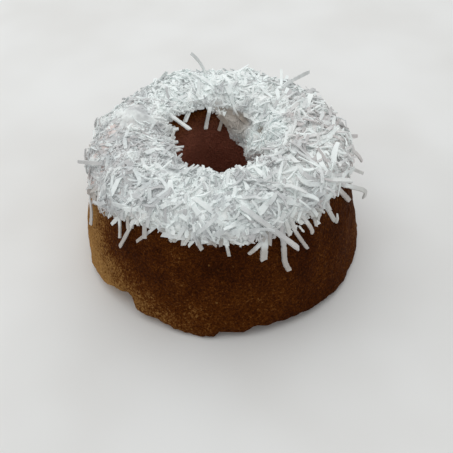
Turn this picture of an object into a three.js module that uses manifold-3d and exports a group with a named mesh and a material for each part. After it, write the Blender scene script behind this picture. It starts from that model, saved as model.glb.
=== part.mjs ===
// A ring cake under grated coconut, as two solids: the baked ring and the coconut that lies on it.
// Millimetres, +Z up, the resting face on z = 0 and the axis of the hole on Z.
import * as THREE from "three";
import { mergeVertices } from "three/addons/utils/BufferGeometryUtils.js";
import Module from "manifold-3d";

const wasm = await Module();
wasm.setup();

// Sizes of the ring
const BASE_RADIUS = 87.5; // widest, just above the resting face
const EDGE_HEIGHT = 6; // foot of the flank
const REST_RADIUS = 81; // outer limit of the flat resting face
const RIM_RADIUS = 86; // lower edge between the resting face and the flank
const SHOULDER_RADIUS = 74.5; // top of the straight flank
const SHOULDER_HEIGHT = 61;
const CREST_RADIUS = 52;
const CREST_HEIGHT = 80;
const LIP_RADIUS = 27; // top of the straight wall of the hole
const LIP_HEIGHT = 60;
const HOLE_RADIUS = 22; // narrowest, at the resting face
const ROUNDING = 0.6; // share of the way to the corner that each curve's handles take

// Unevenness of the bake
const BULGE = 1.8; // how far the left flank swells
const BULGE_TURN = 180; // degrees round the axis, 0 on +X
const BULGE_SPREAD = 32;
const BAKE_WAVES = [
  [0.5, 3, 1.3, 25], // height, waves in a turn, phase, and millimetres of slope for a radian
  [0.35, 7, 0.6, -14],
  [0.25, 13, 2.1, 9],
];
const RIM_LIFT = 1.1; // mean height of the crumbly lower edge
const RIM_ROUNDING = 3.6; // height of the round from that edge to the flank
const RIM_WAVES = [
  [0.45, 5, 0.4],
  [0.35, 12, 1.9],
];
// Turn in degrees and height of the lower edge in front, with a broken place at its left and two crags
const RIM_FRONT = [
  [-162, 1.2],
  [-151, 4.5],
  [-143, 7],
  [-138, 10],
  [-132, 13],
  [-130, 12],
  [-127, 3.5],
  [-117, 3.5],
  [-103, 0.8],
  [-95, 0.8],
  [-93, 4.5],
  [-84, 3],
  [-80, 6],
  [-76, 5.5],
  [-62, 4],
  [-46, 3],
  [-36, 1],
];
const RIM_RANGE = [-160, -38, 4]; // degrees that list holds for, first, last and ease beside them
const NOTCH_DEPTH = 9; // how far the resting face stops short under the broken place
const NOTCH_TURN = -135;
const NOTCH_SPREAD = 9;

// Coconut
const CLEARANCE = 0.3; // gap between the coconut and the ring
const BLANKET = 3.9; // mean thickness of the packed coconut
const BLANKET_EDGE = 2.2; // thickness where it stops
const BLANKET_SUNK = -1.5; // underside before the ring is cut away
const SHOULDER_EXTRA = 1.6; // it lies thicker along the outer shoulder in front
const SHOULDER_PLACE = 15; // millimetres from the crest, outwards along the surface
const SHOULDER_SPREAD = 9;
const MOUND = 1.3; // height of the low mounds all over it
const MOUND_COUNT = 11; // mounds in a turn
const MOUND_LENGTH = 5; // millimetres of slope for a radian of a mound
const MOUND_TWIST = 3; // radians by which their rows shift in a turn's radian
const MOUND_SWAY = 2; // radians by which their columns sway
const MOUND_SWAY_LENGTH = 6; // millimetres of slope for a radian of that sway
// Turn in degrees and thickness over the back shoulder, where its outline shows
const CROWN = [
  [19, 3.4],
  [27, 6.4],
  [33, 3.4],
  [52, 3.6],
  [60, 2.4],
  [72, 6],
  [80, 2.6],
  [92, 1.8],
  [106, 4.6],
  [120, 5.8],
  [132, 2.2],
  [147, 3.8],
  [161, 4.2],
];
const CROWN_RANGE = [18, 160, 10]; // degrees that list holds for, first, last and ease beside them
const CROWN_PLACE = 14;
const CROWN_SPREAD = 9;
const OUTER_EDGE = 27.5; // where it stops on the flank at the back
const OUTER_WAVES = [
  [1.1, 7, 0.5],
  [0.8, 16, 1.1],
];
// Turn in degrees and the place where it stops in front, lower on the left
const OUTER_FRONT = [
  [-180, 29],
  [-166, 35],
  [-155, 34.5],
  [-146, 33],
  [-134, 27.5],
  [-121, 24.5],
  [-110, 26.5],
  [-90, 27],
  [-80, 28.5],
  [-70, 28],
  [-61, 24.5],
  [-50, 27.5],
  [-38, 25],
  [-22, 26],
  [0, 27.5],
];
const OUTER_RANGE = [-176, -14, 10]; // degrees that list holds for, first, last and ease beside them
const INNER_EDGE = -20.5; // where it stops in the hole
const INNER_WAVES = [
  [1.2, 6, 2.2],
  [0.8, 14, 0.3],
];
// Turn in degrees and the place where it stops in the hole, as far as that shows: it has slid in on the right
const INNER_SEEN = [
  [-32, -20.5],
  [-12, -28],
  [5, -38],
  [20, -44.5],
  [35, -46],
  [48, -43.5],
  [60, -41],
  [70, -39.5],
  [76, -36],
  [82, -29.5],
  [92, -25],
  [104, -18.5],
  [123, -19.2],
  [132, -18.7],
  [141, -17.6],
  [157, -17],
  [167, -21],
  [176, -24],
  [186, -26],
  [200, -22],
];
const INNER_RANGE = [-22, 190, 10]; // degrees that list holds for, first, last and ease beside them
const DRIFT = 3.5; // it lies thicker there
const DRIFT_TURN = 8;
const DRIFT_SPREAD = 26;
const DRIFT_TOP = 25; // millimetres from the crest, inwards
const DRIFT_FULL = 36;
const LUMP = 3.5; // a clump that stands on the left of the crest
const LUMP_TURN = 165;
const LUMP_PLACE = -3;
const LUMP_SPREAD = 8; // degrees round and millimetres along
const SHRED_COUNT = 110;
const SHRED_LONGEST = 19;
const SHRED_SHORTEST = 8;
const SHRED_WIDTH = 2.3;
const SHRED_THICKNESS = 1;
const SHRED_PROUD = 0.6; // height of a lying shred's middle over the packed coconut
const SHRED_LOWEST = 0.5; // and least height over the ring
const SHRED_HIGHEST = 5.6; // thickness that a lying shred follows at most, so the clump buries it
const SHRED_INSET = 2; // how far the middles stay from the edge in the hole
const SHRED_OVERHANG = 1; // and how far they may pass the outer edge
const SHRED_TILT_LEAST = 6; // degrees
const SHRED_TILT_MOST = 20;
const SHRED_VARIES = 0.18; // share by which lengths and widths differ
const TURN_STRIDE = 0.7548776662; // strides of a whole that never line up, so the shreds spread evenly
const REACH_STRIDE = 0.569840291;
const DRAW_STRIDES = [12.9898, 78.233]; // radians that a draw moves on for each shred and each trait
const DRAW_SCALE = 43758.5453; // scatters neighbouring draws
const STRAY_ROOT = 2.2; // height of a stray's root, inside the packed coconut
const STRAY_TUCK = 3; // length of it that lies in the packed coconut
const HOOK_SPREAD = 0.14; // share of a hooked stray's length on each side of its bend

// Shreds that stand clear: turn in degrees, place in millimetres from the crest, heading in degrees
// from straight down the slope, rise off the surface, bend along the length, length, width, height where
// they come out, and the share of the length where a hooked one bends
const STRAYS = [
  [98, 1, 66, 80, -43, 17, 2.0, 5],
  [43, 5, -4, 11, -4, 20, 2.4, 6],
  [47, 5, 39, 8, 4, 13, 1.8, 5.5],
  [-150, 9, -59, -13, 7, 34, 2.2, 5.6],
  [-163, 42, 45, -9, 24, 15, 2.1, 2.5],
  [-128, 26, -24, -15, 7, 23, 2.2, 4],
  [-136, 31, 10, -2, 10, 10, 1.9, 2.5],
  [-120, 27, -40, -14, 31, 12, 1.7, 2.5],
  [-101, 25, 26, -13, -3, 8, 2.4, 4],
  [-80, 14, 47, -10, -5, 34, 2.8, 6.2],
  [-66, 32, 0, -4, 69, 21, 2.8, 2.5, 0.76],
  [-61, 28, 23, -10, 18, 18, 2.0, 2.5],
  [-43, 26, 1, 17, 152, 17, 2.4, 2.5, 0.7],
  [-55, 27, 15, 45, -79, 11, 2.2, 2.5],
  [-32, 26, 34, -7, -3, 20, 2.8, 2.5],
  [-74, 31, -9, -1, 7, 10, 3.4, 2.5],
  [-77, 32, -58, 12, -15, 6, 2.4, 2.5],
  [-29, 26, 23, 57, -87, 21, 2.4, 3.5, 0.6],
  [-11, 33, 33, 25, 0, 13, 2.2, 2.5],
  [-9, 21, 8, 24, -36, 15, 1.8, 4],
  [-47, 11, 54, 6, -6, 26, 2.8, 5.6],
  [151, -15, 173, 12, -3, 17, 2.4, 5.5],
  [102, -23, 159, -34, 60, 11, 2.3, 4],
  [85, -26, 164, -5, 7, 9, 2.2, 2.5],
];

// Mesh counts
const CAKE_COLUMNS = 72;
const BLANKET_COLUMNS = 60;
const WALL_ROWS = 4;
const LIP_ROWS = 6;
const LIP_STEP = 6; // millimetres from one band of rows to the next
const SHOULDER_ROWS = 6;
const SHOULDER_STEP = 5;
const FLANK_ROWS = 6;
const FLANK_STEP = 9;
const BLANKET_ROWS = 8;
const SHRED_SPANS = 1;
const STRAY_SPANS = 4;
const WELD = 1e-4; // millimetres within which corners are one

const { clamp, degToRad, euclideanModulo, lerp, mapLinear, radToDeg, smoothstep } = THREE.MathUtils;

// A smooth hill of height 1 that fades out over its spread
function hill(distance, spread) {
  return Math.exp(-((distance / spread) ** 2));
}

// The same hill round the axis, for a turn in radians and a centre and spread in degrees
function hillRound(turn, centre, spread) {
  const off = euclideanModulo(turn - degToRad(centre) + Math.PI, 2 * Math.PI) - Math.PI;
  return hill(off, degToRad(spread));
}

// A sum of waves round the axis, each slanted along the slope if it says so
function ripple(waves, turn, place = 0) {
  return waves.reduce((sum, [height, count, phase, slant = Infinity]) => {
    return sum + height * Math.sin(count * turn + phase + place / slant);
  }, 0);
}

// The value at a turn between listed pairs of turn in degrees and value
function between(pairs, degrees) {
  const last = pairs.length - 1;
  const ahead = pairs.findIndex(([turn]) => turn > degrees);
  const next = ahead < 0 ? last : Math.max(ahead, 1);
  const [lowTurn, low] = pairs[next - 1];
  const [highTurn, high] = pairs[next];
  return mapLinear(clamp(degrees, lowTurn, highTurn), lowTurn, highTurn, low, high);
}

// 1 over a range of degrees, easing to 0 over the degrees beside it
function within(degrees, first, last, ease) {
  return smoothstep(degrees, first - ease, first) * (1 - smoothstep(degrees, last, last + ease));
}

// A turn in degrees, counted from -180, from -90 or from 0
function fromLeft(turn) {
  return radToDeg(euclideanModulo(turn + Math.PI, 2 * Math.PI)) - 180;
}

function fromFront(turn) {
  return radToDeg(euclideanModulo(turn + Math.PI / 2, 2 * Math.PI)) - 90;
}

function fromRight(turn) {
  return radToDeg(euclideanModulo(turn, 2 * Math.PI));
}

// A repeatable draw from 0 to 1 for one numbered shred and one of its traits
function draw(index, trait) {
  const value = Math.sin(index * DRAW_STRIDES[0] + trait * DRAW_STRIDES[1]) * DRAW_SCALE;
  return value - Math.floor(value);
}

// Evenly spaced values from first to last
function steps(first, last, count) {
  return Array.from({ length: count }, (_, i) => lerp(first, last, i / (count - 1)));
}

// The section, from the foot of the hole over the crest to the foot of the flank
function ringSection() {
  const wall = new THREE.Vector2(LIP_RADIUS - HOLE_RADIUS, LIP_HEIGHT).normalize();
  const flank = new THREE.Vector2(SHOULDER_RADIUS - BASE_RADIUS, SHOULDER_HEIGHT - EDGE_HEIGHT).normalize();
  const lipReach = ROUNDING * (CREST_HEIGHT - LIP_HEIGHT);
  const shoulderReach = ROUNDING * (CREST_HEIGHT - SHOULDER_HEIGHT);
  const path = new THREE.Path();
  path.moveTo(HOLE_RADIUS, 0);
  path.lineTo(LIP_RADIUS, LIP_HEIGHT);
  path.bezierCurveTo(
    LIP_RADIUS + wall.x * lipReach,
    LIP_HEIGHT + wall.y * lipReach,
    lerp(CREST_RADIUS, LIP_RADIUS, ROUNDING),
    CREST_HEIGHT,
    CREST_RADIUS,
    CREST_HEIGHT,
  );
  path.bezierCurveTo(
    lerp(CREST_RADIUS, SHOULDER_RADIUS, ROUNDING),
    CREST_HEIGHT,
    SHOULDER_RADIUS + flank.x * shoulderReach,
    SHOULDER_HEIGHT + flank.y * shoulderReach,
    SHOULDER_RADIUS,
    SHOULDER_HEIGHT,
  );
  path.lineTo(BASE_RADIUS, EDGE_HEIGHT);
  return path;
}

const section = ringSection();
const sectionLength = section.getLength();
const [wallLength, crestLength, shoulderLength] = section.getCurveLengths();
const HOLE_FOOT = -crestLength;
const WALL_TOP = wallLength - crestLength;
const FLANK_TOP = shoulderLength - crestLength;
const FLANK_FOOT = sectionLength - crestLength;

// How far the baked surface stands off the plain section
function bake(turn, place) {
  const flankShare = clamp((place - FLANK_TOP) / (FLANK_FOOT - FLANK_TOP), 0, 1);
  const wallShare = clamp((place - HOLE_FOOT) / (WALL_TOP - HOLE_FOOT), 0, 1);
  const swell = BULGE * hillRound(turn, BULGE_TURN, BULGE_SPREAD) * Math.sin(Math.PI * flankShare);
  return swell + wallShare * ripple(BAKE_WAVES, turn, place);
}

// A point of the ring's surface raised by a lift, with the directions down the slope, round and out
function surfaceAt(turn, place, lift) {
  const share = clamp((crestLength + place) / sectionLength, 0, 1);
  const point = section.getPoint(share);
  const slope = section.getTangent(share);
  const raised = lift + bake(turn, place);
  const radius = point.x - slope.y * raised;
  const height = point.y + slope.x * raised;
  const cos = Math.cos(turn);
  const sin = Math.sin(turn);
  return {
    point: new THREE.Vector3(radius * cos, radius * sin, height),
    down: new THREE.Vector3(slope.x * cos, slope.x * sin, slope.y),
    round: new THREE.Vector3(-sin, cos, 0),
    out: new THREE.Vector3(-slope.y * cos, -slope.y * sin, slope.x),
    radius,
  };
}

// Height of the crumbly lower edge
function rimLift(turn) {
  const degrees = fromLeft(turn);
  const front = within(degrees, ...RIM_RANGE);
  return lerp(RIM_LIFT + ripple(RIM_WAVES, turn), between(RIM_FRONT, degrees), front);
}

// Place on the flank where the round to that edge begins
function footPlace(turn) {
  return FLANK_FOOT - Math.max(rimLift(turn) + RIM_ROUNDING - EDGE_HEIGHT, 0);
}

// A point of the lower edge, grown outwards
function rimPoint(turn, grown) {
  const reach = surfaceAt(turn, footPlace(turn), 0).radius - (BASE_RADIUS - RIM_RADIUS) + grown;
  return new THREE.Vector3(reach * Math.cos(turn), reach * Math.sin(turn), rimLift(turn));
}

// A point where the resting face stops
function restPoint(turn, grown) {
  const reach = REST_RADIUS - NOTCH_DEPTH * hillRound(turn, NOTCH_TURN, NOTCH_SPREAD) + grown;
  return new THREE.Vector3(reach * Math.cos(turn), reach * Math.sin(turn), 0);
}

// A closed ring of quads: the rows follow the section and the columns go round the axis
function ringGeometry(rows, columns) {
  const positions = [];
  const faces = [];
  rows.forEach((pointAt, row) => {
    const next = (row + 1) % rows.length;
    for (let column = 0; column < columns; column += 1) {
      const point = pointAt((2 * Math.PI * column) / columns);
      const beside = (column + 1) % columns;
      const corner = row * columns + column;
      const ahead = next * columns + column;
      const across = next * columns + beside;
      positions.push(point.x, point.y, point.z);
      faces.push(corner, ahead, across, corner, across, row * columns + beside);
    }
  });
  const geometry = new THREE.BufferGeometry();
  geometry.setAttribute("position", new THREE.Float32BufferAttribute(positions, 3));
  geometry.setIndex(faces);
  return geometry;
}

// The baked ring, or the same ring grown all over by a clearance
function cakeGeometry(grown) {
  const places = [
    ...steps(HOLE_FOOT, WALL_TOP, WALL_ROWS),
    ...steps(WALL_TOP + LIP_STEP, 0, LIP_ROWS),
    ...steps(SHOULDER_STEP, FLANK_TOP, SHOULDER_ROWS),
  ];
  const rows = places.map((place) => (turn) => surfaceAt(turn, place, grown).point);
  steps(0, 1, FLANK_ROWS).forEach((share) => {
    rows.push((turn) => surfaceAt(turn, lerp(FLANK_TOP + FLANK_STEP, footPlace(turn), share), grown).point);
  });
  rows.push((turn) => rimPoint(turn, grown));
  rows.push((turn) => restPoint(turn, grown));
  return ringGeometry(rows, CAKE_COLUMNS);
}

// Where the coconut stops, outwards and inwards
function outerEdge(turn) {
  const degrees = fromLeft(turn);
  const front = within(degrees, ...OUTER_RANGE);
  return lerp(OUTER_EDGE + ripple(OUTER_WAVES, turn), between(OUTER_FRONT, degrees), front);
}

function innerEdge(turn) {
  const degrees = fromFront(turn);
  const seen = within(degrees, ...INNER_RANGE);
  return lerp(INNER_EDGE + ripple(INNER_WAVES, turn), between(INNER_SEEN, degrees), seen);
}

// Thickness of the packed coconut, with low mounds all over, one clump and the drift in the hole
function thickness(turn, place) {
  const degrees = fromRight(turn);
  const front = 0.5 - 0.5 * Math.sin(turn);
  const shoulder = SHOULDER_EXTRA * front * hill(place - SHOULDER_PLACE, SHOULDER_SPREAD);
  const sway = MOUND_SWAY * Math.sin(place / MOUND_SWAY_LENGTH);
  const rows = Math.cos(place / MOUND_LENGTH + MOUND_TWIST * turn);
  const mounds = MOUND * Math.sin(MOUND_COUNT * turn + sway) * rows;
  const skyline = within(degrees, ...CROWN_RANGE) * hill(place - CROWN_PLACE, CROWN_SPREAD);
  const clump = LUMP * hillRound(turn, LUMP_TURN, LUMP_SPREAD) * hill(place - LUMP_PLACE, LUMP_SPREAD);
  const drift = DRIFT * hillRound(turn, DRIFT_TURN, DRIFT_SPREAD) * smoothstep(-place, DRIFT_TOP, DRIFT_FULL);
  return lerp(BLANKET + shoulder + mounds, between(CROWN, degrees), skyline) + clump + drift;
}

// The packed coconut, its underside sunk into the ring
function blanketGeometry() {
  const placeAt = (turn, share) => lerp(innerEdge(turn), outerEdge(turn), share);
  const edgeRow = (share, lift) => (turn) => surfaceAt(turn, placeAt(turn, share), lift).point;
  const topRow = (share) => (turn) => {
    const place = placeAt(turn, share);
    return surfaceAt(turn, place, thickness(turn, place)).point;
  };
  const inset = 0.5 / BLANKET_ROWS;
  const rows = [
    edgeRow(0, BLANKET_SUNK),
    edgeRow(0, BLANKET_EDGE),
    ...steps(inset, 1 - inset, BLANKET_ROWS).map(topRow),
    edgeRow(1, BLANKET_EDGE),
    edgeRow(1, BLANKET_SUNK),
  ];
  return ringGeometry(rows, BLANKET_COLUMNS);
}

// A closed geometry as a solid that can be joined and cut
function solidOf(geometry) {
  const bare = new THREE.BufferGeometry();
  bare.setAttribute("position", geometry.getAttribute("position"));
  bare.setIndex(geometry.getIndex());
  const merged = mergeVertices(bare, WELD);
  const vertProperties = new Float32Array(merged.getAttribute("position").array);
  const triVerts = new Uint32Array(merged.getIndex().array);
  return new wasm.Manifold(new wasm.Mesh({ numProp: 3, vertProperties, triVerts }));
}

// A flat strip through a row of points, its broad face towards the outward directions beside them
function strip(points, outs, width, depth) {
  const spans = points.length - 1;
  const geometry = new THREE.BoxGeometry(spans, width, depth, spans, 1, 1);
  const position = geometry.getAttribute("position");
  const frames = points.map((point, i) => {
    const along = points[Math.min(i + 1, spans)].clone().sub(points[Math.max(i - 1, 0)]).normalize();
    const side = outs[i].clone().cross(along).normalize();
    return { point, side, face: along.clone().cross(side) };
  });
  for (let i = 0; i < position.count; i += 1) {
    const { point, side, face } = frames[Math.round(position.getX(i) + spans / 2)];
    const moved = point.clone();
    moved.addScaledVector(side, position.getY(i));
    moved.addScaledVector(face, position.getZ(i));
    position.setXYZ(i, moved.x, moved.y, moved.z);
  }
  return solidOf(geometry);
}

// A numbered shred that lies in the top of the coconut, one end sunk and the other proud
function lyingShred(index) {
  const share = index / SHRED_COUNT;
  const turn = 2 * Math.PI * ((index * TURN_STRIDE) % 1);
  const drawn = Math.sqrt(lerp(LIP_RADIUS ** 2, SHOULDER_RADIUS ** 2, (index * REACH_STRIDE) % 1));
  const across = (drawn - LIP_RADIUS) / (SHOULDER_RADIUS - LIP_RADIUS);
  const place = lerp(innerEdge(turn) + SHRED_INSET, outerEdge(turn) + SHRED_OVERHANG, across);
  const heading = 2 * Math.PI * draw(index, 1);
  const length = lerp(SHRED_LONGEST, SHRED_SHORTEST, share) * (1 + SHRED_VARIES * (2 * draw(index, 2) - 1));
  const tilt = Math.tan(degToRad(lerp(SHRED_TILT_LEAST, SHRED_TILT_MOST, draw(index, 3))));
  const { radius } = surfaceAt(turn, place, 0);
  const samples = steps(-0.5, 0.5, SHRED_SPANS + 1).map((part) => {
    const reach = part * length;
    const turned = turn + (Math.sin(heading) * reach) / radius;
    const moved = place + Math.cos(heading) * reach;
    const lift = Math.min(thickness(turned, moved), SHRED_HIGHEST) + SHRED_PROUD + reach * tilt;
    return surfaceAt(turned, moved, Math.max(lift, SHRED_LOWEST));
  });
  const width = SHRED_WIDTH * (1 + SHRED_VARIES * (2 * draw(index, 4) - 1));
  const points = samples.map(({ point }) => point);
  const outs = samples.map(({ out }) => out);
  return strip(points, outs, width, SHRED_THICKNESS);
}

// A shred that stands clear: tucked into the coconut, then an arc from its rise, turning by its bend
function strayShred([turnDegrees, place, heading, rise, bend, length, width, lift, hook = 0]) {
  const turn = degToRad(turnDegrees);
  const aim = degToRad(heading);
  const root = surfaceAt(turn, place, lift);
  const tuck = Math.max(place - outerEdge(turn), 0) + STRAY_TUCK;
  const tuckedTurn = turn - (Math.sin(aim) * tuck) / root.radius;
  const tucked = surfaceAt(tuckedTurn, place - Math.cos(aim) * tuck, STRAY_ROOT);
  const course = root.down.clone().multiplyScalar(Math.cos(aim)).addScaledVector(root.round, Math.sin(aim));
  const points = [tucked.point, root.point];
  const outs = [tucked.out, root.out];
  for (let span = 0; span < STRAY_SPANS; span += 1) {
    const part = (span + 0.5) / STRAY_SPANS;
    const turned = hook > 0 ? smoothstep(part, hook - HOOK_SPREAD, hook + HOOK_SPREAD) : part;
    const pitch = degToRad(rise + bend * turned);
    const ahead = points.at(-1).clone();
    ahead.addScaledVector(course, (Math.cos(pitch) * length) / STRAY_SPANS);
    ahead.addScaledVector(root.out, (Math.sin(pitch) * length) / STRAY_SPANS);
    points.push(ahead);
    outs.push(root.out);
  }
  return strip(points, outs, width, SHRED_THICKNESS);
}

// The coconut: packed blanket and shreds in one body, cut clear of the ring
function coconutSolid() {
  const shreds = [
    ...Array.from({ length: SHRED_COUNT }, (_, index) => lyingShred(index)),
    ...STRAYS.map(strayShred),
  ];
  const joined = shreds.reduce((heap, shred) => heap.add(shred), solidOf(blanketGeometry()));
  const bodies = joined.subtract(solidOf(cakeGeometry(CLEARANCE))).decompose();
  return bodies.reduce((largest, body) => (body.volume() > largest.volume() ? body : largest));
}

// A solid as a named mesh with its own finish
function meshOf(name, solid, finish) {
  const { vertProperties, triVerts } = solid.getMesh();
  const geometry = new THREE.BufferGeometry();
  geometry.setAttribute("position", new THREE.BufferAttribute(vertProperties, 3));
  geometry.setIndex(new THREE.BufferAttribute(triVerts, 1));
  geometry.computeVertexNormals();
  const mesh = new THREE.Mesh(geometry, new THREE.MeshStandardMaterial(finish));
  mesh.name = name;
  return mesh;
}

const ringCake = new THREE.Group();
ringCake.name = "ring_cake";
ringCake.add(
  meshOf("cake", solidOf(cakeGeometry(0)), { color: 0x6b431f, roughness: 0.85, metalness: 0 }),
  meshOf("coconut", coconutSolid(), { color: 0xe6e9e6, roughness: 0.6, metalness: 0 }),
);

export default ringCake;
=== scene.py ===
"""A ring cake under grated coconut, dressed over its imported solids.

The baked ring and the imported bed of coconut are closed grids. The shreds are bent strips, one mesh
for each kind. A turn is an angle round the axis, from +X. A place is a run of millimetres over the
ring's section, from the crest: more is outwards, less is into the hole. Shapes are worked out in
millimetres and written to the meshes in metres.
"""

import itertools
import logging
import math
from dataclasses import astuple, dataclass, field
from enum import Enum
from functools import cached_property
from typing import Any

import bpy
import numpy as np
from mathutils import Matrix, Vector


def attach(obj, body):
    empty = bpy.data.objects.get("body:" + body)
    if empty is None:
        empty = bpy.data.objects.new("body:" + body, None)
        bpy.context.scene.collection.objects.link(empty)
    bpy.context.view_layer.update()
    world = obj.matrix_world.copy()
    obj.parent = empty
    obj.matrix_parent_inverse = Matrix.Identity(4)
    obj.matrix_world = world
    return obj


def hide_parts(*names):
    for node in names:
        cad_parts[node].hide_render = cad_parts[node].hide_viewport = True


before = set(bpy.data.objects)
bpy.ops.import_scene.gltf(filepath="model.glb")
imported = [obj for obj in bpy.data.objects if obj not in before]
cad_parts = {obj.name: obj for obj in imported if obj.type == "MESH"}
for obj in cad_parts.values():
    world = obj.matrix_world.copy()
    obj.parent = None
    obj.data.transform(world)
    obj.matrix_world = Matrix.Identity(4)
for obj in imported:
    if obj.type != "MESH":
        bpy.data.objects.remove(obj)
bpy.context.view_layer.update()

Array = np.ndarray
Socket = bpy.types.NodeSocket
Span = tuple[float, float]
Colour = tuple[float, float, float, float]
Grain = tuple[float, ...]
Waves = tuple[tuple[float, ...], ...]
Layers = tuple[tuple[float, float, int], ...]

LOG = logging.getLogger("ring_cake")
MM = 0.001
TAU = 2.0 * math.pi
TIP_WIDTH = 0.88
MIXERS = np.array([0x9E3779B97F4A7C15, 0xC2B2AE3D27D4EB4F, 0x165667B19E3779F9], np.uint64)
STIR = np.array([0xD6E8FEB86659FD93], np.uint64)


def lerp(low: Any, high: Any, share: Any) -> Any:
    """The value at a share of the way from low to high."""
    return low + (high - low) * share


def smooth(low: float, high: float, value: Array) -> Array:
    """A step from 0 at low to 1 at high, eased as 3t² - 2t³."""
    part = np.clip((value - low) / (high - low), 0.0, 1.0)
    return part * part * (3.0 - 2.0 * part)


def between(rises: Span, falls: Span, value: Array) -> Array:
    """1 between two eased steps: up over the first span and down over the second."""
    return smooth(*rises, value) * (1.0 - smooth(*falls, value))


def hill(distance: Array, spread: float) -> Array:
    """A smooth hill of height 1: e to the minus square of distance over spread."""
    return np.exp(-np.square(distance / spread))


def counted(turn: Array, first: float) -> Array:
    """Turns in degrees, counted upwards from the first."""
    return np.mod(np.degrees(turn) - first, 360.0) + first


def unit(vectors: Array) -> Array:
    """Vectors of length 1."""
    return vectors / np.maximum(np.linalg.norm(vectors, axis=-1, keepdims=True), 1e-9)


def swung(radius: Array, turn: Array, height: Array) -> Array:
    """Points at a radius and height, swung round the axis by the turn."""
    return np.stack([radius * np.cos(turn), radius * np.sin(turn), height], axis=-1)


def off_axis(points: Array) -> Array:
    """Distance of points from the axis."""
    return np.hypot(points[..., 0], points[..., 1])


def ripple(waves: Waves, turn: Array, place: Array | float = 0.0) -> Array:
    """A sum of sine waves round the axis.

    Args:
        waves: height, waves in a turn, phase, and the millimetres of slope that slant a wave by a
            radian, where it slants.
        turn: angles round the axis, in radians.
        place: millimetres from the crest along the slope.

    Returns:
        The height at each point.
    """
    total = np.zeros(np.broadcast(turn, place).shape)
    for height, count, phase, *slant in waves:
        lean = place / slant[0] if slant else 0.0
        total = total + height * np.sin(count * turn + phase + lean)
    return total


def lattice(cells: Array, seed: int) -> Array:
    """Repeatable numbers: odd multipliers and shifts mix a cell's coordinates with the seed.

    Args:
        cells: whole-number coordinates, the last axis X, Y, Z.
        seed: which set of numbers.

    Returns:
        One number from -1 to 1 for each cell.
    """
    parts = cells.astype(np.int64).view(np.uint64) * MIXERS
    mixed = parts[..., 0] ^ parts[..., 1] ^ parts[..., 2]
    mixed = mixed + np.uint64(seed) * STIR
    mixed = (mixed ^ (mixed >> np.uint64(32))) * STIR
    mixed = mixed ^ (mixed >> np.uint64(29))
    return (mixed >> np.uint64(11)).astype(float) * 2.0**-52 - 1.0


def noise(points: Array, size: float, seed: int) -> Array:
    """Smooth lattice noise: the corner values of cells, blended along each axis.

    Args:
        points: places in millimetres, the last axis X, Y, Z.
        size: width of a cell in millimetres.
        seed: which noise.

    Returns:
        One value from -1 to 1 for each point.
    """
    scaled = points / size
    low = np.floor(scaled)
    part = scaled - low
    ease = part * part * (3.0 - 2.0 * part)
    total = np.zeros(points.shape[:-1])
    for corner in itertools.product((0, 1), repeat=3):
        weight = np.prod(np.where(np.array(corner) == 1, ease, 1.0 - ease), axis=-1)
        total = total + weight * lattice(low + np.array(corner), seed)
    return total


def layered(points: Array, layers: Layers) -> Array:
    """A sum of noises, each with its height, its size in millimetres and its seed."""
    return sum(height * noise(points, size, seed) for height, size, seed in layers)


class Coat(Enum):
    """The numbers painted on vertices for the finishes to read."""

    BROWNING = "browning"
    GLAZED = "glazed"
    INSIDE = "inside"
    SHADE = "shade"
    BLUSH = "blush"
    THINNED = "thinned"


def mesh_object(name: str, points: Array, faces: Array, rounded: bool) -> bpy.types.Object:
    """A new object from arrays, in place at the origin.

    Args:
        name: the piece's name.
        points: vertices in millimetres, the last axis X, Y, Z.
        faces: vertex numbers, four for each face.
        rounded: whether the faces shade as one smooth surface.

    Returns:
        The object, linked to the scene.
    """
    mesh = bpy.data.meshes.new(name)
    mesh.vertices.add(points.size // 3)
    mesh.vertices.foreach_set("co", (points * MM).astype(np.float32).ravel())
    mesh.loops.add(faces.size)
    mesh.loops.foreach_set("vertex_index", faces.astype(np.int32).ravel())
    mesh.polygons.add(len(faces))
    starts = np.arange(0, faces.size, faces.shape[1], dtype=np.int32)
    mesh.polygons.foreach_set("loop_start", starts)
    mesh.polygons.foreach_set("use_smooth", np.full(len(faces), rounded))
    mesh.update(calc_edges=True)
    mesh.validate()
    piece = bpy.data.objects.new(name, mesh)
    bpy.context.scene.collection.objects.link(piece)
    return piece


def paint(piece: bpy.types.Object, coat: Coat, values: Array) -> None:
    """Stores one number for each vertex, for the piece's material to read."""
    layer = piece.data.attributes.new(coat.value, "FLOAT", "POINT")
    layer.data.foreach_set("value", values.astype(np.float32).ravel())


def ring_object(name: str, points: Array) -> bpy.types.Object:
    """A grid closed along its rows and round its columns, each face to the points ahead and beside.

    Args:
        name: the piece's name.
        points: rows along the section of columns round the axis.

    Returns:
        The object, smooth all over.
    """
    rows, columns = points.shape[:2]
    row, column = np.meshgrid(np.arange(rows), np.arange(columns), indexing="ij")
    here, ahead = row * columns, (row + 1) % rows * columns
    beside = (column + 1) % columns
    corners = (here + column, ahead + column, ahead + beside, here + beside)
    faces = np.stack([corner.ravel() for corner in corners], axis=1)
    return mesh_object(name, points, faces, True)


@dataclass(frozen=True)
class Side:
    """A side of the ring: the turn of its middle and its spread in degrees, and what it counts."""

    turn: float
    spread: float
    amount: float = 1.0

    def at(self, turn: Array) -> Array:
        """The amount at turns in radians: a hill of the angle to the middle, the short way."""
        off = np.mod(turn - math.radians(self.turn) + math.pi, TAU) - math.pi
        return self.amount * hill(off, math.radians(self.spread))


@dataclass(frozen=True)
class Spot:
    """A round spot on the ring: its side, the place of its middle and its reach along the slope."""

    side: Side
    place: float
    reach: float

    def at(self, turn: Array, place: Array) -> Array:
        """The side's amount times a hill along the slope."""
        return self.side.at(turn) * hill(place - self.place, self.reach)


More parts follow.
